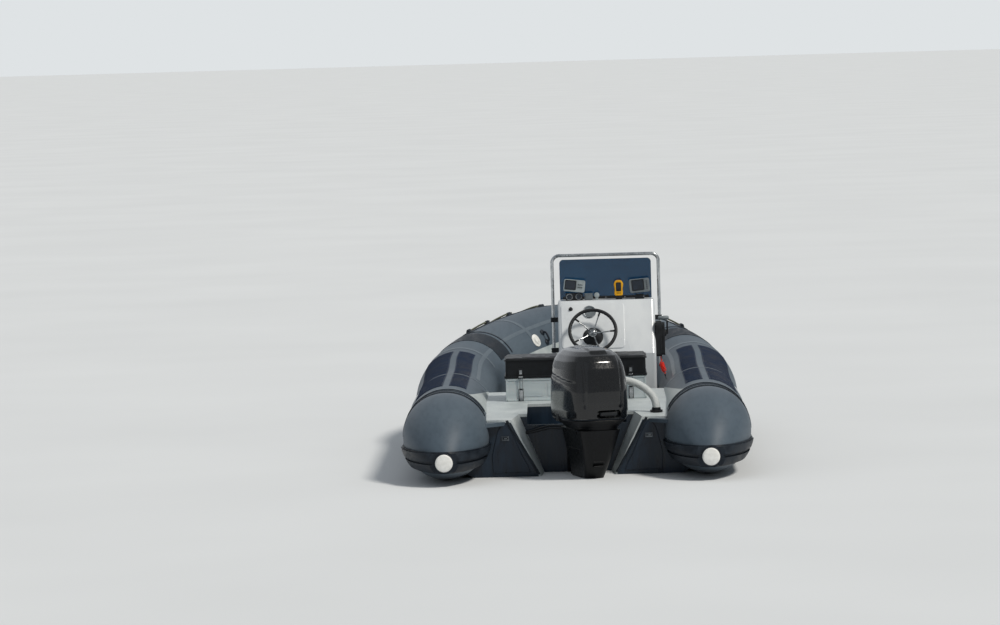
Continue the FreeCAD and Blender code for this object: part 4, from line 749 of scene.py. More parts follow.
def makeHandheld(sizes):
    top = helm["topZ"]
    place = placeAt((sizes["x"], helm["topY"] + 0.060, top + sizes["low"]), (sizes["lean"], "X"))
    tall, half, front = sizes["tall"], sizes["across"] / 2, sizes["deep"] / 2
    # the right half from the foot up, then the left half back down
    edge = [(half - 0.010, 0.0), (half - 0.003, 0.016), (half - 0.007, 0.050), (half, tall - 0.030),
            (half - 0.010, tall - 0.006), (0.010, tall)]
    outline = edge + [(-x, y) for x, y in reversed(edge)]
    shape = bmesh.new()
    plateOn(shape, outline, sizes["deep"], place @ Matrix.Translation((0, 0, -front)))
    makePiece("handheldCase", shape, yellow, replaces=("handheld",), bevel=0.006,
              steps=4)
    shape = bmesh.new()
    face = place @ Matrix.Translation((0, tall * 0.56, front - 0.0005))
    plateOn(shape, roundedOutline(0.0195, 0.034, 0.008, 4), 0.0022, face)
    for column in (-1, 0, 1):
        key = place @ Matrix.Translation((column * 0.011, tall * 0.17, front - 0.001))
        plateOn(shape, roundedOutline(0.004, 0.003, 0.002, 2), 0.0032, key)
    rodOn(shape, (0.012, tall - 0.006, -0.006), (0.012, tall + 0.006, -0.006), 0.0075, 0.0062, 16, place)
    # the holder and its foot
    boxOn(shape, (-0.022, -0.004, -0.018), (0.022, 0.030, 0.006), place)
    boxOn(shape, (sizes["x"] - 0.024, helm["topY"] + 0.046, top + seatGap),
          (sizes["x"] + 0.024, helm["topY"] + 0.086, top + sizes["low"] + 0.004))
    makePiece("handheldTrim", shape, blackPlastic, bevel=0.0015)
    shape = bmesh.new()
    plateOn(shape, roundedOutline(0.0145, 0.0215, 0.003, 3), 0.0012,
            face @ Matrix.Translation((0, 0.006, 0.0018)))
    makePiece("handheldScreen", shape, screenGlass)


# Throttle: a side mounted control with a swept lever and a T grip
control = {"face": 0.6028, "thick": 0.072, "y": 2.170, "deep": 0.120, "low": 0.655, "high": 0.920,
           "rake": 0.020, "pivotIn": 0.040, "pivotZ": 0.830, "gripZ": 0.942}


def makeControl(sizes):
    face, thick = sizes["face"], sizes["thick"]
    y, back, low, high = sizes["y"], sizes["y"] + sizes["deep"], sizes["low"], sizes["high"]
    raked = low + sizes["rake"]
    outline = [(y + 0.010, low), (back - 0.012, raked - 0.002), (back, raked + 0.014), (back, high - 0.040),
               (back - 0.022, high - 0.012), (y + 0.030, high), (y + 0.006, high - 0.012), (y, high - 0.040),
               (y, low + 0.012)]
    middleY, middleZ = (y + back) / 2, (low + high) / 2
    inset = [(middleY + (a - middleY) * 0.84, middleZ + (b - middleZ) * 0.93) for a, b in outline]
    side = placeAt((face, 0, 0), (90, "Z"), (90, "X"))
    shape = bmesh.new()
    plateOn(shape, outline, thick * 0.62, side)
    plateOn(shape, inset, thick * 0.94, side)
    makePiece("controlHousing", shape, blackPlastic, replaces=("throttle_box",),
              bevel=0.005, steps=3)
    makeLever(sizes, face + thick)


def makeLever(sizes, out):
    pivotY, pivotZ, gripZ = sizes["y"] + sizes["pivotIn"], sizes["pivotZ"], sizes["gripZ"]
    shape = bmesh.new()
    latheOn(shape, [(0.027, 0), (0.027, 0.008), (0.022, 0.013), (0.012, 0.018), (0, 0.018)],
            placeAt((out - 0.006, pivotY, pivotZ), (90, "Y")), 32)
    lever = [(pivotY - 0.016, pivotZ - 0.010), (pivotY + 0.016, pivotZ - 0.010),
             (pivotY + 0.011, gripZ - 0.020), (pivotY - 0.011, gripZ - 0.020)]
    plateOn(shape, lever, 0.013, placeAt((out + 0.009, 0, 0), (90, "Z"), (90, "X")))
    makePiece("controlLever", shape, blackPlastic, replaces=("throttle_lever",),
              bevel=0.003)
    shape = bmesh.new()
    left = sizes["face"] + 0.020
    stretch = out + 0.030 - left
    profile = [(0.004, 0), (0.011, 0.002), (0.0145, 0.010), (0.015, stretch * 0.5), (0.0155, stretch - 0.014),
               (0.012, stretch - 0.003), (0, stretch)]
    # the grip is a little deeper than it is tall
    grip = placeAt((left, pivotY, gripZ), (90, "Y")) @ Matrix.Diagonal((1.0, 1.18, 1.0, 1.0))
    latheOn(shape, profile, grip, 28)
    makePiece("controlGrip", shape, gripGrey, smooth=60)


# Hose and steering cables: routes in metres, repeated from the construction
hoseRoute = [(0.560, 0.2143, 0.4250), (0.560, 0.2117, 0.4770), (0.530, 0.226, 0.540), (0.455, 0.238, 0.602),
             (0.370, 0.252, 0.634), (0.290, 0.268, 0.636), (0.222, 0.280, 0.626), (0.160, 0.276, 0.612),
             (0.1153, 0.2468, 0.601), (0.112, 0.2069, 0.600)]


# the second cable runs a little below and aft of the first
def cableRoute(index):
    drop = 0.017 * index
    wallX = -0.3602 + 0.0009 * index
    return [(wallX, 0.236 - drop, 0.292 - drop / 2), (-0.320, 0.236 - drop, 0.296 - drop / 2),
            (-0.262, 0.226 - drop, 0.318 - drop), (-0.190, 0.208 - drop, 0.336 - drop),
            (-0.120, 0.184 - drop, 0.334 - drop), (-0.072, 0.160 - drop / 2, 0.328 - drop),
            (-0.043, 0.148 - drop / 2, 0.324 - drop)]


# Outboard: sizes in metres in the engine's own frame, which is turned about the steering axis
engine = {"steerY": 0.130, "turn": 18}
enginePlace = placeAt((0, engine["steerY"], 0), (engine["turn"], "Z")) @ Matrix.Translation(
    (0, -engine["steerY"], 0))

# each row: half width, front, back, roundness, height; front and back are measured from the frame's origin
cowlRows = [
    (0.2155, 0.1755, -0.4775, 3.6, 0.4258), (0.2195, 0.1790, -0.4870, 3.6, 0.4330),
    (0.2245, 0.1815, -0.4985, 3.5, 0.4800), (0.2250, 0.1820, -0.5000, 3.4, 0.5400),
    (0.2240, 0.1800, -0.4985, 3.3, 0.6200), (0.2205, 0.1760, -0.4920, 3.2, 0.7000),
    (0.2120, 0.1680, -0.4780, 3.1, 0.7700), (0.1980, 0.1570, -0.4560, 3.0, 0.8200),
    (0.1760, 0.1380, -0.4250, 2.9, 0.8580), (0.1430, 0.1060, -0.3800, 2.8, 0.8860),
    (0.1020, 0.0600, -0.3180, 2.6, 0.9000), (0.0500, 0.0000, -0.2300, 2.4, 0.9045),
]
apronRows = [
    (0.2090, 0.1700, -0.4720, 3.4, 0.4242), (0.2140, 0.1735, -0.4790, 3.4, 0.4150),
    (0.2070, 0.1450, -0.4620, 3.2, 0.4000), (0.1850, 0.0950, -0.4480, 3.1, 0.3850),
    (0.1620, 0.0500, -0.4380, 3.0, 0.3650), (0.1500, 0.0250, -0.4350, 3.0, 0.3460),
]


# one rounded outline with the given half width, front, back and roundness
def engineRing(row, count):
    half, front, back, power, height = row
    middle, reach = (front + back) / 2, (front - back) / 2
    ring = []
    for step in range(count):
        turn = 2 * math.pi * step / count
        across, along = math.cos(turn), math.sin(turn)
        x = half * math.copysign(abs(across) ** (2 / power), across)
        y = middle + reach * math.copysign(abs(along) ** (2 / power), along)
        ring.append(Vector((x, y, height)))
    return ring


def smoothRows(table, between):
    rows = []
    for first, second in zip(table, table[1:]):
        for step in range(between):
            rows.append(tuple(a + (b - a) * step / between for a, b in zip(first, second)))
    return rows + [table[-1]]


def smoothStep(value, low, high):
    share = min(1.0, max(0.0, (value - low) / (high - low)))
    return share * share * (3 - 2 * share)


# the back panel stands proud between two side grooves, the grip is a hollow below it, a slanted crease runs
# along each side and a low ridge along the top; pairs are where a form begins and where it is full
cowlForm = {"back": (0.30, 0.44), "panelHalf": 0.128, "panelProud": 0.010, "panelFoot": (0.50, 0.53),
            "grooveX": 0.134, "grooveHalf": 0.006, "grooveDeep": 0.006, "grooveTop": 0.84,
            "gripX": 0.036, "gripZ": 0.462, "gripHalf": 0.087, "gripTall": 0.027, "gripDeep": 0.032,
            "side": (0.16, 0.20), "creaseZ": 0.700, "creaseSlope": 0.10, "creaseHalf": 0.007,
            "creaseDeep": 0.0045, "ridgeHalf": 0.064, "ridgeTall": 0.009, "ridgeUp": (0.868, 0.886)}


def cowlPoint(point, form):
    x, y, z = point
    back = smoothStep(-y, *form["back"])
    aboveFoot = smoothStep(z, *form["panelFoot"])
    panel = smoothStep(form["panelHalf"] - abs(x), 0.0, 0.012) * aboveFoot
    groove = math.exp(-((abs(x) - form["grooveX"]) / form["grooveHalf"]) ** 2) * aboveFoot
    groove *= smoothStep(form["grooveTop"] - z, 0, 0.05)
    y -= back * (form["panelProud"] * panel - form["grooveDeep"] * groove)
    across, up = abs(x - form["gripX"]) / form["gripHalf"], abs(z - form["gripZ"]) / form["gripTall"]
    y += back * form["gripDeep"] * smoothStep(1 - across ** 5 - up ** 3, 0, 0.35)
    creaseZ = form["creaseZ"] + form["creaseSlope"] * (y + 0.15)
    crease = math.exp(-((z - creaseZ) / form["creaseHalf"]) ** 2)
    x -= math.copysign(smoothStep(abs(x), *form["side"]) * form["creaseDeep"] * crease, x)
    ridge = smoothStep(form["ridgeHalf"] - abs(x), 0, 0.010) * smoothStep(z, *form["ridgeUp"])
    z += form["ridgeTall"] * ridge * smoothStep(-y, -0.02, 0.05)
    return Vector((x, y, z))


def makeCowl(form):
    shape = bmesh.new()
    rows = [[enginePlace @ cowlPoint(p, form) for p in engineRing(row, 240)]
            for row in smoothRows(cowlRows, 7)]
    gridOn(shape, rows, caps=True)
    makePiece("cowlShell", shape, lacquer, "outboard", ("cowl",), smooth=50)
    # rubber seal between the cowl and the apron
    shape = bmesh.new()
    seal = [(0.2160, 0.1760, -0.4800, 3.5, z) for z in (0.4215, 0.4285)]
    rings = [[enginePlace @ p for p in engineRing(row, 120)] for row in seal]
    gridOn(shape, rings, caps=True)
    makePiece("cowlSeal", shape, darkRubber, "outboard", bevel=0.0012)


# two side latches, the lever inside the grip, and the grommet that the hose goes into
cowlFittings = {"latchX": 0.2175, "latchHalf": 0.006, "latchAlong": (-0.146, -0.094),
                "latchUp": (0.398, 0.452), "leverHalf": 0.064, "leverAlong": (-0.4865, -0.4580),
                "leverUp": (0.4460, 0.4790),
                "grommet": [(0.046, -0.020), (0.046, -0.004), (0.040, 0.001), (0.036, 0.012), (0.031, 0.020),
                            (0.0275, 0.020), (0.0275, -0.020)]}


# a box in the engine's frame about the given x
def engineBox(shape, x, half, along, up):
    boxOn(shape, (x - half, along[0], up[0]), (x + half, along[1], up[1]), enginePlace)


def makeCowlFittings(sizes):
    shape = bmesh.new()
    for side in (-1, 1):
        engineBox(shape, side * sizes["latchX"], sizes["latchHalf"], sizes["latchAlong"], sizes["latchUp"])
    makePiece("cowlLatches", shape, blackPlastic, "outboard", bevel=0.004, steps=3)
    shape = bmesh.new()
    engineBox(shape, cowlForm["gripX"], sizes["leverHalf"], sizes["leverAlong"], sizes["leverUp"])
    makePiece("cowlGrip", shape, blackPlastic, "outboard", bevel=0.012, steps=4)
    shape = bmesh.new()
    end = Vector(hoseRoute[-1])
    out = (Vector(hoseRoute[-2]) - end).normalized()
    grommet = Matrix.Translation(end) @ out.to_track_quat("Z", "Y").to_matrix().to_4x4()
    latheOn(shape, sizes["grommet"], grommet, 36)
    makePiece("hoseGrommet", shape, darkRubber, "outboard", smooth=50)


# The leg under the apron: a rib is its height and half width, a bolt its place along, height and half width
legSizes = {"ribs": ((0.345, 0.148), (0.205, 0.1125)), "ribAlong": (-0.30, 0.02), "ribHalf": 0.004,
            "slots": (0.150, 0.120, 0.090), "slotAlong": (-0.352, -0.300), "slotHalf": 0.040,
            "bolts": ((-0.30, 0.325, 0.143), (-0.06, 0.325, 0.143), (-0.22, 0.180, 0.1075),
                      (-0.02, 0.180, 0.1075), (-0.16, 0.0, 0.0700))}


def makeApron(sizes):
    shape = bmesh.new()
    rows = [[enginePlace @ p for p in engineRing(row, 120)] for row in smoothRows(apronRows, 4)]
    gridOn(shape, rows, caps=True)
    makePiece("apronShell", shape, enamel, "outboard", ("lower_cowl",), smooth=45)
    # parting ribs on both sides and the exhaust relief's ribs on the back
    shape = bmesh.new()
    for side in (-1, 1):
        for height, half in sizes["ribs"]:
            up = (height - sizes["ribHalf"], height + sizes["ribHalf"])
            engineBox(shape, side * half, 0.005, sizes["ribAlong"], up)
    for height in sizes["slots"]:
        engineBox(shape, 0, sizes["slotHalf"], sizes["slotAlong"], (height - 0.005, height + 0.004))
    makePiece("legRibs", shape, enamel, "outboard", bevel=0.003)
    shape = bmesh.new()
    for side in (-1, 1):
        for y, z, half in sizes["bolts"]:
            spot = enginePlace @ placeAt((side * (half - 0.004), y, z), (side * 90, "Y"))
            latheOn(shape, [(0.009, 0), (0.009, 0.008), (0.0075, 0.010), (0, 0.010)], spot, 6)
    makePiece("legBolts", shape, enamel, "outboard", smooth=20)


# Locker: sizes in metres; bars frame the box, panels stand on its back, ribs and pads on its lid
locker = {"halfX": 0.505, "aft": 1.000, "front": 1.420, "low": 0.4455, "top": 0.610, "lidLow": 0.6112,
          "lidTop": 0.756, "rim": 0.014, "proud": 0.004, "barThick": 0.005,
          "panelX": (-0.33, -0.11, 0.11, 0.33), "panelZ": 0.528, "padX": (-0.30, -0.10, 0.10, 0.30),
          "latchX": 0.396, "hingeX": 0.330, "hingeY": 1.4273, "hingeZ": 0.611}


def makeLockerBox(sizes):
    half, aft, front, rim = sizes["halfX"], sizes["aft"], sizes["front"], sizes["rim"]
    proud, thick = sizes["proud"], sizes["barThick"]
    low, top = sizes["low"] + 0.002, sizes["top"] - 0.002
    bars = bmesh.new()
    for y in (aft - proud, front + proud - thick):
        for z in (low, top - rim):
            boxOn(bars, (-half + proud, y, z), (half - proud, y + thick, z + rim))
        for x in (-half, half - rim):
            boxOn(bars, (x, y, low), (x + rim, y + thick, top))
    for x in (-half - proud, half + proud - thick):
        for z in (low, top - rim):
            boxOn(bars, (x, aft, z), (x + thick, front, z + rim))
    makePiece("lockerFrame", bars, greyBox, bevel=0.002)
    panels = bmesh.new()
    for x in sizes["panelX"]:
        place = placeAt((x, aft - seatGap, sizes["panelZ"]), (90, "X"))
        plateOn(panels, roundedOutline(0.094, 0.050, 0.012, 4), 0.0022, place)
    makePiece("lockerPanels", panels, greyBox, bevel=0.001)


def makeLockerLid(sizes):
    half, aft, front = sizes["halfX"] + 0.004, sizes["aft"] - 0.004, sizes["front"] + 0.002
    lid = bmesh.new()
    # a rib round the lid's foot and a lower one round its top
    for z, rise in ((sizes["lidLow"], 0.016), (sizes["lidTop"] - 0.020, 0.008)):
        boxOn(lid, (-half - 0.004, aft - 0.004, z), (half + 0.004, aft + 0.004, z + rise))
        for x in (-half - 0.004, half - 0.004):
            boxOn(lid, (x, aft, z), (x + 0.008, front - 0.004, z + rise))
    for x in sizes["padX"]:
        place = Matrix.Translation((x, (sizes["aft"] + sizes["front"]) / 2, sizes["lidTop"] - 0.001))
        plateOn(lid, roundedOutline(0.085, 0.165, 0.018, 4), 0.004, place)
    makePiece("lidRibs", lid, lidPlastic, "locker_lid", bevel=0.002)


# over-centre draw latches: a base with a folding handle on the box, a hooked loop up to a catch on the lid;
# each box is its half width, how far its faces stand out from the locker's back, its foot and its top
latchBoxes = {
    "latchBases": [(0.013, 0.0150, 0.0050, 0.462, 0.522), (0.010, 0.0190, 0.0140, 0.450, 0.468)],
    "latchPlates": [(0.017, 0.0052, 0.0012, 0.448, 0.536)],
    "catchPlates": [(0.017, 0.0125, 0.0070, 0.614, 0.682)],
    "latchCatches": [(0.015, 0.0210, 0.0120, 0.618, 0.626), (0.010, 0.0160, 0.0120, 0.640, 0.670)],
}


def makeLatches(sizes):
    aft = sizes["aft"]
    shapes = {name: bmesh.new() for name in latchBoxes}
    bases, plates = shapes["latchBases"], shapes["latchPlates"]
    for side in (-1, 1):
        x = side * sizes["latchX"]
        for name, rows in latchBoxes.items():
            for half, far, near, low, high in rows:
                boxOn(shapes[name], (x - half, aft - far, low), (x + half, aft - near, high))
        rodOn(bases, (x - 0.016, aft - 0.0130, 0.524), (x + 0.016, aft - 0.0130, 0.524), 0.0045, sides=14)
        for edge in (-1, 1):
            bar, screw = x + edge * 0.012, x + edge * 0.013
            rodOn(bases, (bar, aft - 0.0125, 0.524), (bar, aft - 0.0125, 0.606), 0.0022, sides=10)
            for z in (0.456, 0.530):
                rodOn(plates, (screw, aft - 0.0078, z), (screw, aft - 0.0046, z), 0.0026, sides=10)
    makePiece("latchBases", bases, chrome, replaces=("locker_latches",), bevel=0.0009)
    makePiece("latchPlates", plates, blackPlastic, bevel=0.0006)
    makePiece("catchPlates", shapes["catchPlates"], blackPlastic, "locker_lid", bevel=0.0006)
    makePiece("latchCatches", shapes["latchCatches"], chrome, "locker_lid", bevel=0.0009)


# two hinges at the front, their knuckles fixed to box and lid in turn
hinge = {"half": 0.060, "knuckles": 5, "knuckleStep": 0.024, "knuckle": 0.023, "radius": 0.0068,
         "screws": (0.020, 0.060, 0.100)}


def makeHinges(sizes, pattern):
    fixed = bmesh.new()
    moving = bmesh.new()
    y, z = sizes["hingeY"], sizes["hingeZ"]
    for side in (-1, 1):
        start = side * sizes["hingeX"] - pattern["half"]
        stop = start + 2 * pattern["half"]
        for index in range(pattern["knuckles"]):
            target = fixed if index % 2 == 0 else moving
            first = start + index * pattern["knuckleStep"] + 0.0005
            rodOn(target, (first, y, z), (first + pattern["knuckle"], y, z), pattern["radius"], sides=18)
        boxOn(fixed, (start, y - 0.0066, z - 0.044), (stop, y - 0.0042, z - 0.004))
        boxOn(moving, (start, y - 0.0036, z + 0.006), (stop, y - 0.0010, z + 0.046))
        for across in pattern["screws"]:
            x = start + across
            rodOn(fixed, (x, y - 0.005, z - 0.030), (x, y - 0.0015, z - 0.030), 0.0042, sides=12)
            rodOn(moving, (x, y - 0.002, z + 0.032), (x, y + 0.0012, z + 0.032), 0.0042, sides=12)
    makePiece("hingesFixed", fixed, stainless, replaces=("locker_hinges",),
              bevel=0.0006)
    makePiece("hingesMoving", moving, stainless, "locker_lid", bevel=0.0006)


# points read from the route's own NURBS spline
def splinePoints(points, steps):
    item = bpy.data.objects.new("route", routeCurve(points, 0.0, steps))
    scene.collection.objects.link(item)
    mesh = meshOf(item)
    line = [vertex.co.copy() for vertex in mesh.vertices]
    bpy.data.objects.remove(item)
    bpy.data.meshes.remove(mesh)
    return line


# frames carried along a line without twisting: each is a point, a side and an up direction
def framesAlong(line):
    frames = []
    side = None
    for index, point in enumerate(line):
        ahead = line[min(index + 1, len(line) - 1)] - line[max(index - 1, 0)]
        ahead.normalize()
        if side is None:
            side = ahead.orthogonal().normalized()
        side = (side - ahead * side.dot(ahead)).normalized()
        frames.append((point, side, ahead.cross(side)))
    return frames


def evenLine(line, step):
    spaced = [line[0]]
    left = step
    for first, second in zip(line, line[1:]):
        run = (second - first).length
        place = left
        while place <= run:
            spaced.append(first.lerp(second, place / run))
            place += step
        left = place - run
    return spaced


def lengthOf(line):
    return sum((second - first).length for first, second in zip(line, line[1:]))


def tubeAlong(shape, line, radiusAt, sides):
    rows = []
    travelled = 0.0
    last = line[0]
    for point, side, up in framesAlong(line):
        travelled += (point - last).length
        last = point
        radius = radiusAt(travelled)
        rows.append([point + (side * math.cos(t) + up * math.sin(t)) * radius
                     for t in [2 * math.pi * index / sides for index in range(sides)]])
    gridOn(shape, rows, caps=True)


# the hose has shallow ribs and goes between boat and engine;
# its collar is screwed on the deck's flange
hoseSizes = {"radius": 0.0262, "rib": 0.0014, "pitch": 0.009, "collar": (0.033, 0.0295), "collarTall": 0.020}


def makeHose(sizes):
    radius, rib = sizes["radius"], sizes["rib"]
    line = evenLine(splinePoints(hoseRoute, 40), 0.0015)

    def ribbed(travelled):
        return radius - rib / 2 * math.cos(2 * math.pi * travelled / sizes["pitch"])
    shape = bmesh.new()
    tubeAlong(shape, line, ribbed, 28)
    hose = makePiece("rigHose", shape, paleHose, None, ("rigging_hose",), smooth=80)
    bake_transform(hose)
    shape = bmesh.new()
    foot = Vector(hoseRoute[0])
    out = (Vector(hoseRoute[1]) - foot).normalized()
    rodOn(shape, foot - out * 0.001, foot + out * sizes["collarTall"], *sizes["collar"], 32)
    makePiece("hoseCollar", shape, blackPlastic, bevel=0.0015)


cableSizes = {"count": 2, "radius": 0.0066}


def makeCables(sizes):
    radius = sizes["radius"]
    for index in range(sizes["count"]):
        line = splinePoints(cableRoute(index), 16)
        shape = bmesh.new()
        tubeAlong(shape, line, lambda travelled: radius, 14)
        cable = makePiece(f"steeringCable{index}", shape, blackPlastic, None,
                          ("steering_cables",), smooth=80)
        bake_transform(cable)


# the kill cord: a red curly cord from under the control, with a snap hook for the driver's belt
killRoute = [(0.6388, 2.2100, 0.6605), (0.6388, 2.2160, 0.6250), (0.6448, 2.2020, 0.5865),
             (0.6588, 2.1880, 0.5525), (0.6648, 2.1840, 0.5205)]
killCord = {"wire": 0.0036, "coil": 0.0165, "pitch": 0.0092, "slack": 0.25, "hookWire": 0.0018,
            "hook": ((0.014, 0.0), (0.020, 0.008), (0.034, 0.009), (0.042, 0.0), (0.034, -0.009),
                     (0.022, -0.008))}


# turns wound about the line: slack at the top, full below, and straight at both ends
def curlAlong(line, sizes):
    total = lengthOf(line)
    curl = []
    travelled = 0.0
    turn = 0.0
    last = line[0]
    for point, side, up in framesAlong(line):
        step = (point - last).length
        travelled += step
        last = point
        opened = sizes["slack"] + (1 - sizes["slack"]) * smoothStep(travelled, 0.040, 0.062)
        opened *= smoothStep(travelled, 0.006, 0.020) * smoothStep(total - travelled, 0.002, 0.030)
        turn += 2 * math.pi * step / sizes["pitch"] * opened
        curl.append(point + (side * math.cos(turn) + up * math.sin(turn)) * sizes["coil"] * opened)
    return curl


def makeKillCord(sizes):
    line = evenLine(splinePoints(killRoute, 30), 0.001)
    curl = curlAlong(line, sizes)
    curve = routeCurve(curl, sizes["wire"], steps=2, sides=10)
    curve.materials.append(redCord)
    cord = declare(bpy.data.objects.new("killCord", curve), "boat", ("kill_cord",))
    turns = splinePoints(curl, 4)
    end = curl[-1]
    down = (line[-1] - line[-6]).normalized()
    shape = bmesh.new()
    rodOn(shape, end - down * 0.002, end + down * 0.016, 0.0052, 0.0044, 14)
    loop = [end + down * along + Vector((0, across, 0)) for along, across in sizes["hook"]]
    sweepOn(shape, loop, sizes["hookWire"], steps=6, sides=8)
    hook = makePiece("cordHook", shape, blackPlastic, smooth=60)


# The tubes' centre line, as in the construction: straight, a rise, a gentle and a sharp bend inward
collarSizes = {"spread": 0.913, "height": 0.300, "radius": 0.300, "straight": 2.000, "riseRadius": 4.000,
               "riseTurn": 8, "shoulderRadius": 3.200, "shoulderTurn": 35}


def turnedSpot(spot, centre, axis, degrees):
    turn = Matrix.Rotation(math.radians(degrees), 3, axis)
    point, *directions = spot
    return (centre + turn @ (point - centre), *[turn @ direction for direction in directions])


# a spot is a point with its directions forward, outward and up; a part is its first spot and how it goes on
def collarParts(sizes):
    shoulder = math.radians(sizes["shoulderTurn"])
    bowRadius = (sizes["spread"] - sizes["shoulderRadius"] * (1 - math.cos(shoulder))) / math.cos(shoulder)
    table = [("run", 0, 0), ("rise", sizes["riseRadius"], sizes["riseTurn"]),
             ("inward", sizes["shoulderRadius"], sizes["shoulderTurn"]),
             ("inward", bowRadius, 90 - sizes["shoulderTurn"])]
    parts = []
    spot = (Vector((sizes["spread"], 0, sizes["height"])), Vector((0, 1, 0)), Vector((1, 0, 0)),
            Vector((0, 0, 1)))
    for kind, radius, degrees in table:
        point, forward, outward, upward = spot
        centre = point + upward * radius if kind == "rise" else point - outward * radius
        axis = outward if kind == "rise" else upward
        length = sizes["straight"] if kind == "run" else radius * math.radians(degrees)
        parts.append((spot, centre, axis, length, degrees))
        if kind == "run":
            spot = (point + forward * length, forward, outward, upward)
        else:
            spot = turnedSpot(spot, centre, axis, degrees)
    return parts


collarLine = collarParts(collarSizes)


# the last bend goes on past its end
def collarSpot(distance):
    for part in collarLine:
        spot, centre, axis, length, degrees = part
        if distance <= length or part is collarLine[-1]:
            break
        distance -= length
    if degrees:
        return turnedSpot(spot, centre, axis, degrees * distance / length)
    return (spot[0] + spot[1] * distance, *spot[1:])


# a point at that distance along the tube, turned from outward towards up, raised over the fabric;
# side -1 is port
def onTube(distance, degrees, raised, side):
    point, forward, outward, upward = collarSpot(distance)
    angle = math.radians(degrees)
    reach = collarSizes["radius"] + raised
    place = point + outward * (reach * math.cos(angle)) + upward * (reach * math.sin(angle))
    place.x *= side
    return place


# a thin patch on the tube; low and high give its edges, in degrees, at each distance;
# a facet every 2.5 degrees keeps it clear of the round tube
def tubePatch(shape, start, stop, low, high, thick, side, step=0.05, base=seatGap, facet=2.5):
    count = max(3, int((stop - start) / step) + 1)
    across = max(4, math.ceil(abs(high(start) - low(start)) / facet))
    top, bottom = [], []
    for index in range(count):
        s = start + (stop - start) * index / (count - 1)
        angles = [low(s) + (high(s) - low(s)) * k / across for k in range(across + 1)]
        top.append([onTube(s, a, thick, side) for a in angles])
        bottom.append([onTube(s, a, base, side) for a in angles])
    rings = [over + under[::-1] for over, under in zip(top, bottom)]
    gridOn(shape, rings, caps=True)


# a patch of constant width, from one angle to the other
def tubeBand(shape, run, span, thick, side):
    tubePatch(shape, *run, lambda s: span[0], lambda s: span[1], thick, side)


# Tube trim: tapes over the cross seams and the long seam, the flaps that join the deck to the tubes, and
# raised rubber welts; a run is two distances along the tube, a span is two angles in degrees, and the deck
# flap's outer and inner edge are each an angle at its start and one at its stop
tubeTrim = {"tapes": (0.360, 1.725, 3.000, 4.060), "tapeWide": 0.045, "tapeSpan": (-12, 150),
            "tapeThick": 0.0016, "seamRun": (1.900, 4.500), "seamSpan": (125, 131),
            "flapStart": 0.331, "flapStop": 1.850, "flapThick": 0.0035, "flapOuter": (121, 150),
            "flapInner": (160.5, 152),
            "bowFlapRun": (3.350, 4.890), "bowFlapSpan": (164, 188),
            "welts": (0.195, 0.290), "weltWide": 0.016, "weltSpan": (-8, 152), "weltThick": 0.0045,
            "grabRun": (3.645, 4.820), "grabSpan": (59, 73), "grabThick": 0.0048}


def makeTubeTrim(sizes):
    tapes = bmesh.new()
    flaps = bmesh.new()
    welts = bmesh.new()
    outer, inner = sizes["flapOuter"], sizes["flapInner"]

    def share(s):
        return (s - sizes["flapStart"]) / (sizes["flapStop"] - sizes["flapStart"])
    for side in (-1, 1):
        for place in sizes["welts"]:
            tubeBand(welts, (place, place + sizes["weltWide"]), sizes["weltSpan"], sizes["weltThick"], side)
        tubeBand(welts, sizes["grabRun"], sizes["grabSpan"], sizes["grabThick"], side)
        tubeBand(flaps, sizes["bowFlapRun"], sizes["bowFlapSpan"], sizes["flapThick"], side)
        for place in sizes["tapes"]:
            tubeBand(tapes, (place, place + sizes["tapeWide"]), sizes["tapeSpan"], sizes["tapeThick"], side)
        tubeBand(tapes, sizes["seamRun"], sizes["seamSpan"], sizes["tapeThick"], side)
        # the deck's flaps narrow as they go forward
        tubePatch(flaps, sizes["flapStart"], sizes["flapStop"],
                  lambda s: outer[0] + (outer[1] - outer[0]) * share(s) ** 0.8,
                  lambda s: inner[0] + (inner[1] - inner[0]) * share(s), sizes["flapThick"], side)
    makePiece("seamTapes", tapes, seamFabric, smooth=50)
    makePiece("deckFlaps", flaps, flapFabric, smooth=50)
    makePiece("tubeWelts", welts, darkRubber, smooth=50)


# Repeats by geometry nodes: a copy of the item on each point, turned by the point's stored turn
def repeatTree():
    tree = bpy.data.node_groups.new("repeatOnPoints", "GeometryNodeTree")
    tree.interface.new_socket("Points", in_out="INPUT", socket_type="NodeSocketGeometry")
    tree.interface.new_socket("Item", in_out="INPUT", socket_type="NodeSocketObject")
    tree.interface.new_socket("Finish", in_out="INPUT", socket_type="NodeSocketMaterial")
    tree.interface.new_socket("Copies", in_out="OUTPUT", socket_type="NodeSocketGeometry")
    entry = add(tree, "NodeGroupInput")
    item = add(tree, "GeometryNodeObjectInfo", {"Object": entry.outputs["Item"]})
    turn = add(tree, "GeometryNodeInputNamedAttribute", {"Name": "turn"}, data_type="FLOAT_VECTOR")
    copies = add(tree, "GeometryNodeInstanceOnPoints", {
        "Points": entry.outputs["Points"], "Instance": item.outputs["Geometry"],
        "Rotation": turn.outputs["Attribute"]})
    joined = add(tree, "GeometryNodeRealizeInstances", {"Geometry": copies.outputs["Instances"]})
    finished = add(tree, "GeometryNodeSetMaterial", {
        "Geometry": joined.outputs["Geometry"], "Material": entry.outputs["Finish"]})
    add(tree, "NodeGroupOutput", {"Copies": finished.outputs["Geometry"]})
    return tree


repeatNodes = repeatTree()


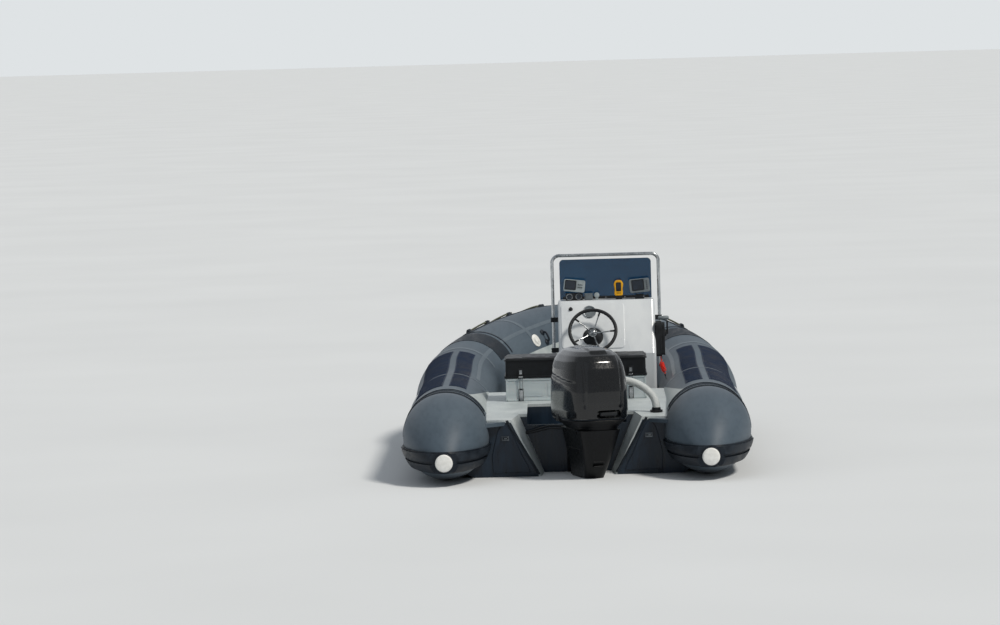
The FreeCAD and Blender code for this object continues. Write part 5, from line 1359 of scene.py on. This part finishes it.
# shape is one copy about the origin; places are the matrices of the copies
def repeatPiece(name, shape, places, material, replaces=()):
    bmesh.ops.recalc_face_normals(shape, faces=shape.faces)
    one = bpy.data.meshes.new("oneOf" + name)
    shape.to_mesh(one)
    shape.free()
    soften(one, 40)
    sample = bpy.data.objects.new("oneOf" + name, one)
    scene.collection.objects.link(sample)
    points = bpy.data.meshes.new("pointsOf" + name)
    points.from_pydata([place.to_translation() for place in places], [], [])
    turns = points.attributes.new("turn", "FLOAT_VECTOR", "POINT")
    turns.data.foreach_set("vector", [v for place in places for v in place.to_euler()])
    carrier = bpy.data.objects.new("pointsOf" + name, points)
    scene.collection.objects.link(carrier)
    nodes = carrier.modifiers.new("repeat", "NODES")
    nodes.node_group = repeatNodes
    sockets = {socket.name: socket.identifier for socket in repeatNodes.interface.items_tree}
    nodes[sockets["Item"]] = sample
    nodes[sockets["Finish"]] = material
    mesh = meshOf(carrier)
    mesh.name = name
    bpy.data.objects.remove(carrier)
    bpy.data.objects.remove(sample)
    return declare(bpy.data.objects.new(name, mesh), "boat", replaces)


# a frame on the tube: local X around it, local Y along it, local Z out of the fabric
def tubeFrame(distance, degrees, raised, side):
    point, forward, outward, upward = collarSpot(distance)
    angle = math.radians(degrees)
    out = outward * math.cos(angle) + upward * math.sin(angle)
    place = point + out * (collarSizes["radius"] + raised)
    forward, out = forward.copy(), out.copy()
    for vector in (place, forward, out):
        vector.x *= side
    return Matrix.Translation(place) @ Matrix((forward.cross(out), forward, out)).transposed().to_4x4()


# raised bars across the tread patches, so that a boot holds on them; a patch is two distances along the tube
# and two angles in degrees, the section is (along, up), and the bars stop short of the patch's edges
treads = {"patches": ((0.640, 1.690, 40, 83), (0.640, 1.690, 92, 116), (1.760, 2.900, 40, 83),
                      (1.760, 2.900, 92, 116)),
          "section": ((-0.0035, -0.0002), (-0.0022, 0.0017), (0.0022, 0.0017), (0.0035, -0.0002)),
          "step": 0.022, "thick": 0.0033, "endGap": 0.015, "edgeGap": 1.6, "facets": 16}


def makeTreads(sizes):
    thick, step, facets = sizes["thick"], sizes["step"], sizes["facets"]
    reach = collarSizes["radius"] + thick
    for start, stop, low, high in sizes["patches"]:
        shape = bmesh.new()
        half = math.radians((high - low) / 2 - sizes["edgeGap"])
        rows = []
        for index in range(facets + 1):
            turn = -half + 2 * half * index / facets
            rows.append([Vector(((reach + up) * math.sin(turn), along, (reach + up) * math.cos(turn) - reach))
                         for along, up in sizes["section"]])
        gridOn(shape, rows, caps=True)
        count = int((stop - start - 2 * sizes["endGap"]) / step)
        places = [tubeFrame(start + sizes["endGap"] + step * index, (low + high) / 2, thick, side)
                  for side in (-1, 1) for index in range(count + 1)]
        repeatPiece(f"treadBars{int(start * 1000)}_{low}", shape, places, tread)


# Lifeline: moulded rubber holders on the tubes' shoulders, and a rope that sags between them
lifeline = {"first": 3.700, "step": 0.330, "count": 4, "angle": 66, "padLong": 0.060, "padWide": 0.046,
            "ropeRaise": 0.0173, "loopHalf": 0.022, "ropeRadius": 0.0068, "droop": 20}


def makeHolders(sizes):
    shape = bmesh.new()
    rows = []
    reach = collarSizes["radius"]
    for share, height in ((0.45, 0.0066), (0.75, 0.0058), (0.93, 0.0040), (1.0, 0.0012)):
        ring = []
        for index in range(40):
            turn = 2 * math.pi * index / 40
            across = sizes["padWide"] * share * math.copysign(abs(math.cos(turn)) ** 0.6, math.cos(turn))
            along = sizes["padLong"] * share * math.copysign(abs(math.sin(turn)) ** 0.6, math.sin(turn))
            fall = reach - math.sqrt(reach * reach - across * across)
            ring.append(Vector((across, along, height - fall)))
        rows.append(ring)
    gridOn(shape, rows, caps=True)
    # the holder's hump is a sleeve round the rope, on a foot that widens into the pad
    half = sizes["loopHalf"]
    flank = [(-0.021, 0.0045), (-0.0155, 0.0085), (-0.0125, 0.0150), (-0.0100, 0.0215), (-0.0050, 0.0260)]
    profile = flank + [(0.0, 0.0272)] + [(-x, z) for x, z in reversed(flank)]
    rings = []
    for along, shrink in ((-half, 0.86), (-half * 0.82, 1.0), (half * 0.82, 1.0), (half, 0.86)):
        rings.append([Vector((x * shrink, along, z * shrink + 0.004 * (1 - shrink))) for x, z in profile])
    gridOn(shape, rings, caps=True)
    places = [tubeFrame(sizes["first"] + sizes["step"] * index, sizes["angle"], 0.0006, side)
              for side in (-1, 1) for index in range(sizes["count"])]
    repeatPiece("ropeHolders", shape, places, darkRubber,
                ("anchors_starboard", "anchors_port"))


def makeRopes(sizes):
    end = (sizes["loopHalf"] + 0.0006) / sizes["step"]
    # each station is its share of the span and of the droop
    stations = [(end, 0), (0.16, 0.02), (0.30, 0.6), (0.50, 1), (0.70, 0.6), (0.84, 0.02), (1 - end, 0)]
    for side, word in ((-1, "Port"), (1, "Starboard")):
        for index in range(sizes["count"] - 1):
            start = sizes["first"] + sizes["step"] * index
            route = [onTube(start + share * sizes["step"], sizes["angle"] - sag * sizes["droop"],
                            sizes["ropeRaise"], side) for share, sag in stations]
            line = splinePoints(route, 12)
            curve = routeCurve(route, sizes["ropeRadius"], steps=12, sides=16)
            curve.materials.append(oliveRope)
            rope = declare(bpy.data.objects.new(f"rope{word}{index}", curve), "boat",
                           ("lifeline_" + word.lower(),))


# Valves on the tubes' inner sides at the bow: a flanged body with a ribbed turning cap
valve = {"distance": 4.120, "angle": 150, "ribs": 20,
         "body": [(0.052, 0.0004), (0.052, 0.0035), (0.047, 0.006), (0.036, 0.0075), (0.034, 0.0125),
                  (0, 0.0125)],
         "cap": [(0.0285, 0.0115), (0.0285, 0.0150), (0.026, 0.0168), (0, 0.0172)]}


def makeValves(sizes):
    shape = bmesh.new()
    latheOn(shape, sizes["body"], sides=40)
    latheOn(shape, sizes["cap"], sides=40)
    for index in range(sizes["ribs"]):
        turn = Matrix.Rotation(2 * math.pi * index / sizes["ribs"], 4, "Z")
        boxOn(shape, (0.0275, -0.0016, 0.0120), (0.0300, 0.0016, 0.0160), turn)
    boxOn(shape, (-0.020, -0.003, 0.0165), (0.020, 0.003, 0.0190))
    places = [tubeFrame(sizes["distance"], sizes["angle"], 0.0, side) for side in (-1, 1)]
    repeatPiece("valveBodies", shape, places, polyamide, ("valve_starboard", "valve_port"))


# U shaped handle beside each valve, with a round foot at each end
bowHandle = {"distance": 4.270, "angle": 150, "half": 0.042, "radius": 0.0075,
             "foot": [(0.024, 0.0005), (0.024, 0.004), (0.012, 0.009), (0.009, 0.012)]}


def makeBowHandles(sizes):
    shape = bmesh.new()
    half = sizes["half"]
    bend = [(half, 0.000), (half - 0.002, 0.022), (half - 0.016, 0.032)]
    route = [Vector((-x, 0, z)) for x, z in bend] + [Vector((x, 0, z)) for x, z in reversed(bend)]
    sweepOn(shape, route, sizes["radius"], steps=8, sides=14)
    for across in (-half, half):
        latheOn(shape, sizes["foot"], Matrix.Translation((across, 0, 0)), 28)
    places = [tubeFrame(sizes["distance"], sizes["angle"], 0.0, side) for side in (-1, 1)]
    repeatPiece("bowHandles", shape, places, darkRubber)


# Hatch: a flush turning latch with its ring, and the screws of two hinges at the front edge
hatch = {"latchIn": 0.045, "hingeX": 0.11, "hingeIn": 0.020, "screwX": 0.016,
         "latch": [(0.032, -0.0005), (0.032, 0.0012), (0.029, 0.0026), (0.024, 0.0026), (0.0235, 0.0010),
                   (0, 0.0010)],
         "screw": [(0.0045, -0.0005), (0.0045, 0.0012), (0.003, 0.0022), (0, 0.0022)]}


def makeHatchFittings(sizes):
    low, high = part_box("anchor_hatch")
    middle = (low[0] + high[0]) / 2
    place = Matrix.Translation((middle, low[1] + sizes["latchIn"], high[2]))
    shape = bmesh.new()
    latheOn(shape, sizes["latch"], place, 40)
    boxOn(shape, (-0.0175, -0.0040, 0.0008), (0.0175, 0.0040, 0.0030), place)
    for across in (-sizes["hingeX"], sizes["hingeX"]):
        for step in (-sizes["screwX"], sizes["screwX"]):
            spot = (middle + across + step, high[1] - sizes["hingeIn"], high[2])
            latheOn(shape, sizes["screw"], Matrix.Translation(spot), 12)
    makePiece("hatchLatch", shape, chrome, "anchor_hatch", bevel=0.0006)


# Stern: raised panels on the pods' aft faces, dark with painted shade, rubber on the notch's edges, rings
# round the cone caps, and the eyes; outlines are the starboard side's (x, z), and the eye's bow is (x, how
# far out)
sternSizes = {"panel": ((0.330, 0.030), (0.590, 0.030), (0.596, 0.150), (0.578, 0.225), (0.560, 0.300),
                        (0.545, 0.340), (0.520, 0.368), (0.492, 0.366), (0.466, 0.330), (0.430, 0.255),
                        (0.385, 0.150), (0.345, 0.075)),
              "panelThick": 0.008, "notch": ((0.4880, 0.395), (0.3700, 0.190), (0.2700, 0.015)),
              "trim": 0.009, "capRing": 0.0075, "eyeX": 0.500, "eyeZ": 0.272, "eyeWire": 0.0047,
              "eyeBow": ((-0.0140, 0.008), (-0.0140, 0.036), (-0.0100, 0.0505), (0.0100, 0.0505),
                         (0.0140, 0.036), (0.0140, 0.008))}


def makeEyes(sizes):
    eyes = bmesh.new()
    for side in (-1, 1):
        x, z = side * sizes["eyeX"], sizes["eyeZ"]
        boxOn(eyes, (x - 0.026, -0.0150, z - 0.016), (x + 0.026, -0.0075, z + 0.016))
        bow = [Vector((x + across, -out, z)) for across, out in sizes["eyeBow"]]
        sweepOn(eyes, bow, sizes["eyeWire"], steps=8, sides=14)
        for across in (-0.014, 0.014):
            rodOn(eyes, (x + across, -0.0145, z), (x + across, -0.0205, z), 0.0085, sides=6)
    makePiece("sternEyes", eyes, darkerStainless,
              replaces=("stern_eye_port", "stern_eye_starboard"), bevel=0.0008)


def makeStern(sizes):
    panels = bmesh.new()
    trim = bmesh.new()
    rings = bmesh.new()
    for side, word in ((-1, "port"), (1, "starboard")):
        outline = [(side * x, z) for x, z in sizes["panel"]]
        plateOn(panels, outline, sizes["panelThick"], placeAt((0, 0.001, 0), (90, "X")))
        edge = [Vector((side * x, -0.002, z)) for x, z in sizes["notch"]]
        sweepOn(trim, edge, sizes["trim"], steps=8, sides=12)
        low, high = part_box("cone_cap_" + word)
        middle = placeAt(((low[0] + high[0]) / 2, low[1] + 0.024, (low[2] + high[2]) / 2), (90, "X"))
        inner = (high[0] - low[0]) / 2 + 0.0005
        outer = (high[0] - low[0]) / 2 + sizes["capRing"]
        latheOn(rings, [(inner, -0.012), (outer, -0.010), (outer, -0.002), (inner, 0.002)], middle, 48)
    makeEyes(sizes)
    # the pods' panels are dark with painted shade
    makePiece("podPanels", panels, podShadeFinish, bevel=0.005, steps=3)
    makePiece("notchTrim", trim, darkRubber, smooth=60)
    makePiece("capRings", rings, darkRubber, bevel=0.001)


# The camera stands where the photograph was taken from: 30 m astern, 3 m up; the boat heels a little to port
cameraPlace = {"back": 30.0, "up": 3.03, "right": -0.024, "yaw": 0.995, "pitch": 3.61, "heel": 1.6,
               "focalPixels": 4320, "framePixels": 1000, "sensor": 36.0, "farthest": 2000}


def placeCamera(place):
    data = bpy.data.cameras.new("photoCamera")
    data.sensor_width = place["sensor"]
    data.lens = place["focalPixels"] * place["sensor"] / place["framePixels"]
    data.clip_end = place["farthest"]
    camera = bpy.data.objects.new("photoCamera", data)
    scene.collection.objects.link(camera)
    turn = [Matrix.Rotation(math.radians(angle), 4, axis) for angle, axis in (
        (place["heel"], "Y"), (place["yaw"], "Z"), (90 - place["pitch"], "X"))]
    stand = Matrix.Translation((place["right"], -place["back"], place["up"]))
    camera.matrix_world = turn[0] @ stand @ turn[1] @ turn[2]
    scene.camera = camera


# The floor lies at the waterline, far wider than any view of the boat
stageSizes = {"floorHalf": 600.0, "floor": "#DDE0E2", "sky": "#DFE3E5", "skyLight": 0.37}


def makeStage(sizes):
    half = sizes["floorHalf"]
    mesh = bpy.data.meshes.new("stillWaterFloor")
    corners = [(-half, -half, 0), (half, -half, 0), (half, half, 0), (-half, half, 0)]
    mesh.from_pydata(corners, [], [(0, 1, 2, 3)])
    floor = bpy.data.objects.new("stillWaterFloor", mesh)
    scene.collection.objects.link(floor)
    material, tree, shader = newMaterial(
        "palePaintedFloor", {"IOR": 1.45, "Roughness": 0.8, "Specular IOR Level": 0.0})
    feed(tree, shader, colour=shades(tree, grain(tree, 3000, 2), ((0.3, "#D9DCDE"), (0.7, sizes["floor"]))))
    mesh.materials.append(material)
    world = bpy.data.worlds.new("paleStudio")
    world.use_nodes = True
    scene.world = world
    tree = world.node_tree
    tree.nodes.clear()
    ray = add(tree, "ShaderNodeLightPath")
    # mirrors and lacquer see the dimmer sky, so that they keep their depth
    rays = {0: ray.outputs["Is Camera Ray"], 1: ray.outputs["Is Transmission Ray"]}
    seen = add(tree, "ShaderNodeMath", rays, operation="MAXIMUM")
    light = add(tree, "ShaderNodeBackground", {"Color": fromHex("#EAF0F5"), "Strength": sizes["skyLight"]})
    shown = add(tree, "ShaderNodeBackground", {"Color": fromHex(sizes["sky"]), "Strength": 1.0})
    either = add(tree, "ShaderNodeMixShader", {0: seen.outputs[0], 1: light.outputs[0], 2: shown.outputs[0]})
    add(tree, "ShaderNodeOutputWorld", {"Surface": either.outputs[0]})


# Soft studio light: each lamp is a sun, so that the floor is lit evenly all over; the key lamp is the
# smallest and casts the shadows, the other two only lift them
lamps = [
    {"name": "keyLamp", "from": (0.75, -0.55, 1.15), "strength": 2.3, "angle": 12, "tint": "#FFF9F0"},
    {"name": "fillLamp", "from": (-0.9, -0.9, 0.7), "strength": 0.12, "angle": 70, "tint": "#EEF4FF"},
    {"name": "bowLamp", "from": (-0.3, 1.0, 0.8), "strength": 0.35, "angle": 70, "tint": "#F4F8FF"},
]


def placeLamps(table):
    for row in table:
        data = bpy.data.lights.new(row["name"], "SUN")
        data.energy = row["strength"]
        data.angle = math.radians(row["angle"])
        data.color = fromHex(row["tint"])[:3]
        lamp = bpy.data.objects.new(row["name"], data)
        scene.collection.objects.link(lamp)
        lamp.matrix_world = Vector(row["from"]).to_track_quat("Z", "Y").to_matrix().to_4x4()


print("stage: building the helm")
makeDash(helm)
makeDashFittings(dashFittings)
makeRim(wheel)
makeSpokes(wheel)
makeHousing(housing)

print("stage: building the console fittings")
makeScreenFittings(screenSizes)
makeRailClamps(railSizes)
for row in instrumentRows:
    makeInstrument(row)
makeTwinGauges(smallSizes)
makeBoxAndLamp(smallSizes)
makeHandheld(handheldSizes)
makeControl(control)

print("stage: building the engine")
makeCowl(cowlForm)
makeCowlFittings(cowlFittings)
makeApron(legSizes)

print("stage: building the locker")
makeLockerBox(locker)
makeLockerLid(locker)
makeLatches(locker)
makeHinges(locker, hinge)

print("stage: laying hose, cables, cord and ropes")
makeHose(hoseSizes)
makeCables(cableSizes)
makeKillCord(killCord)
makeRopes(lifeline)

print("stage: trimming the tubes and the stern")
makeTubeTrim(tubeTrim)
makeTreads(treads)
makeHolders(lifeline)
makeValves(valve)
makeBowHandles(bowHandle)
makeHatchFittings(hatch)
makeStern(sternSizes)

print("stage: placing camera, floor and lamps")
placeCamera(cameraPlace)
makeStage(stageSizes)
placeLamps(lamps)

scene.view_settings.view_transform = "Standard"
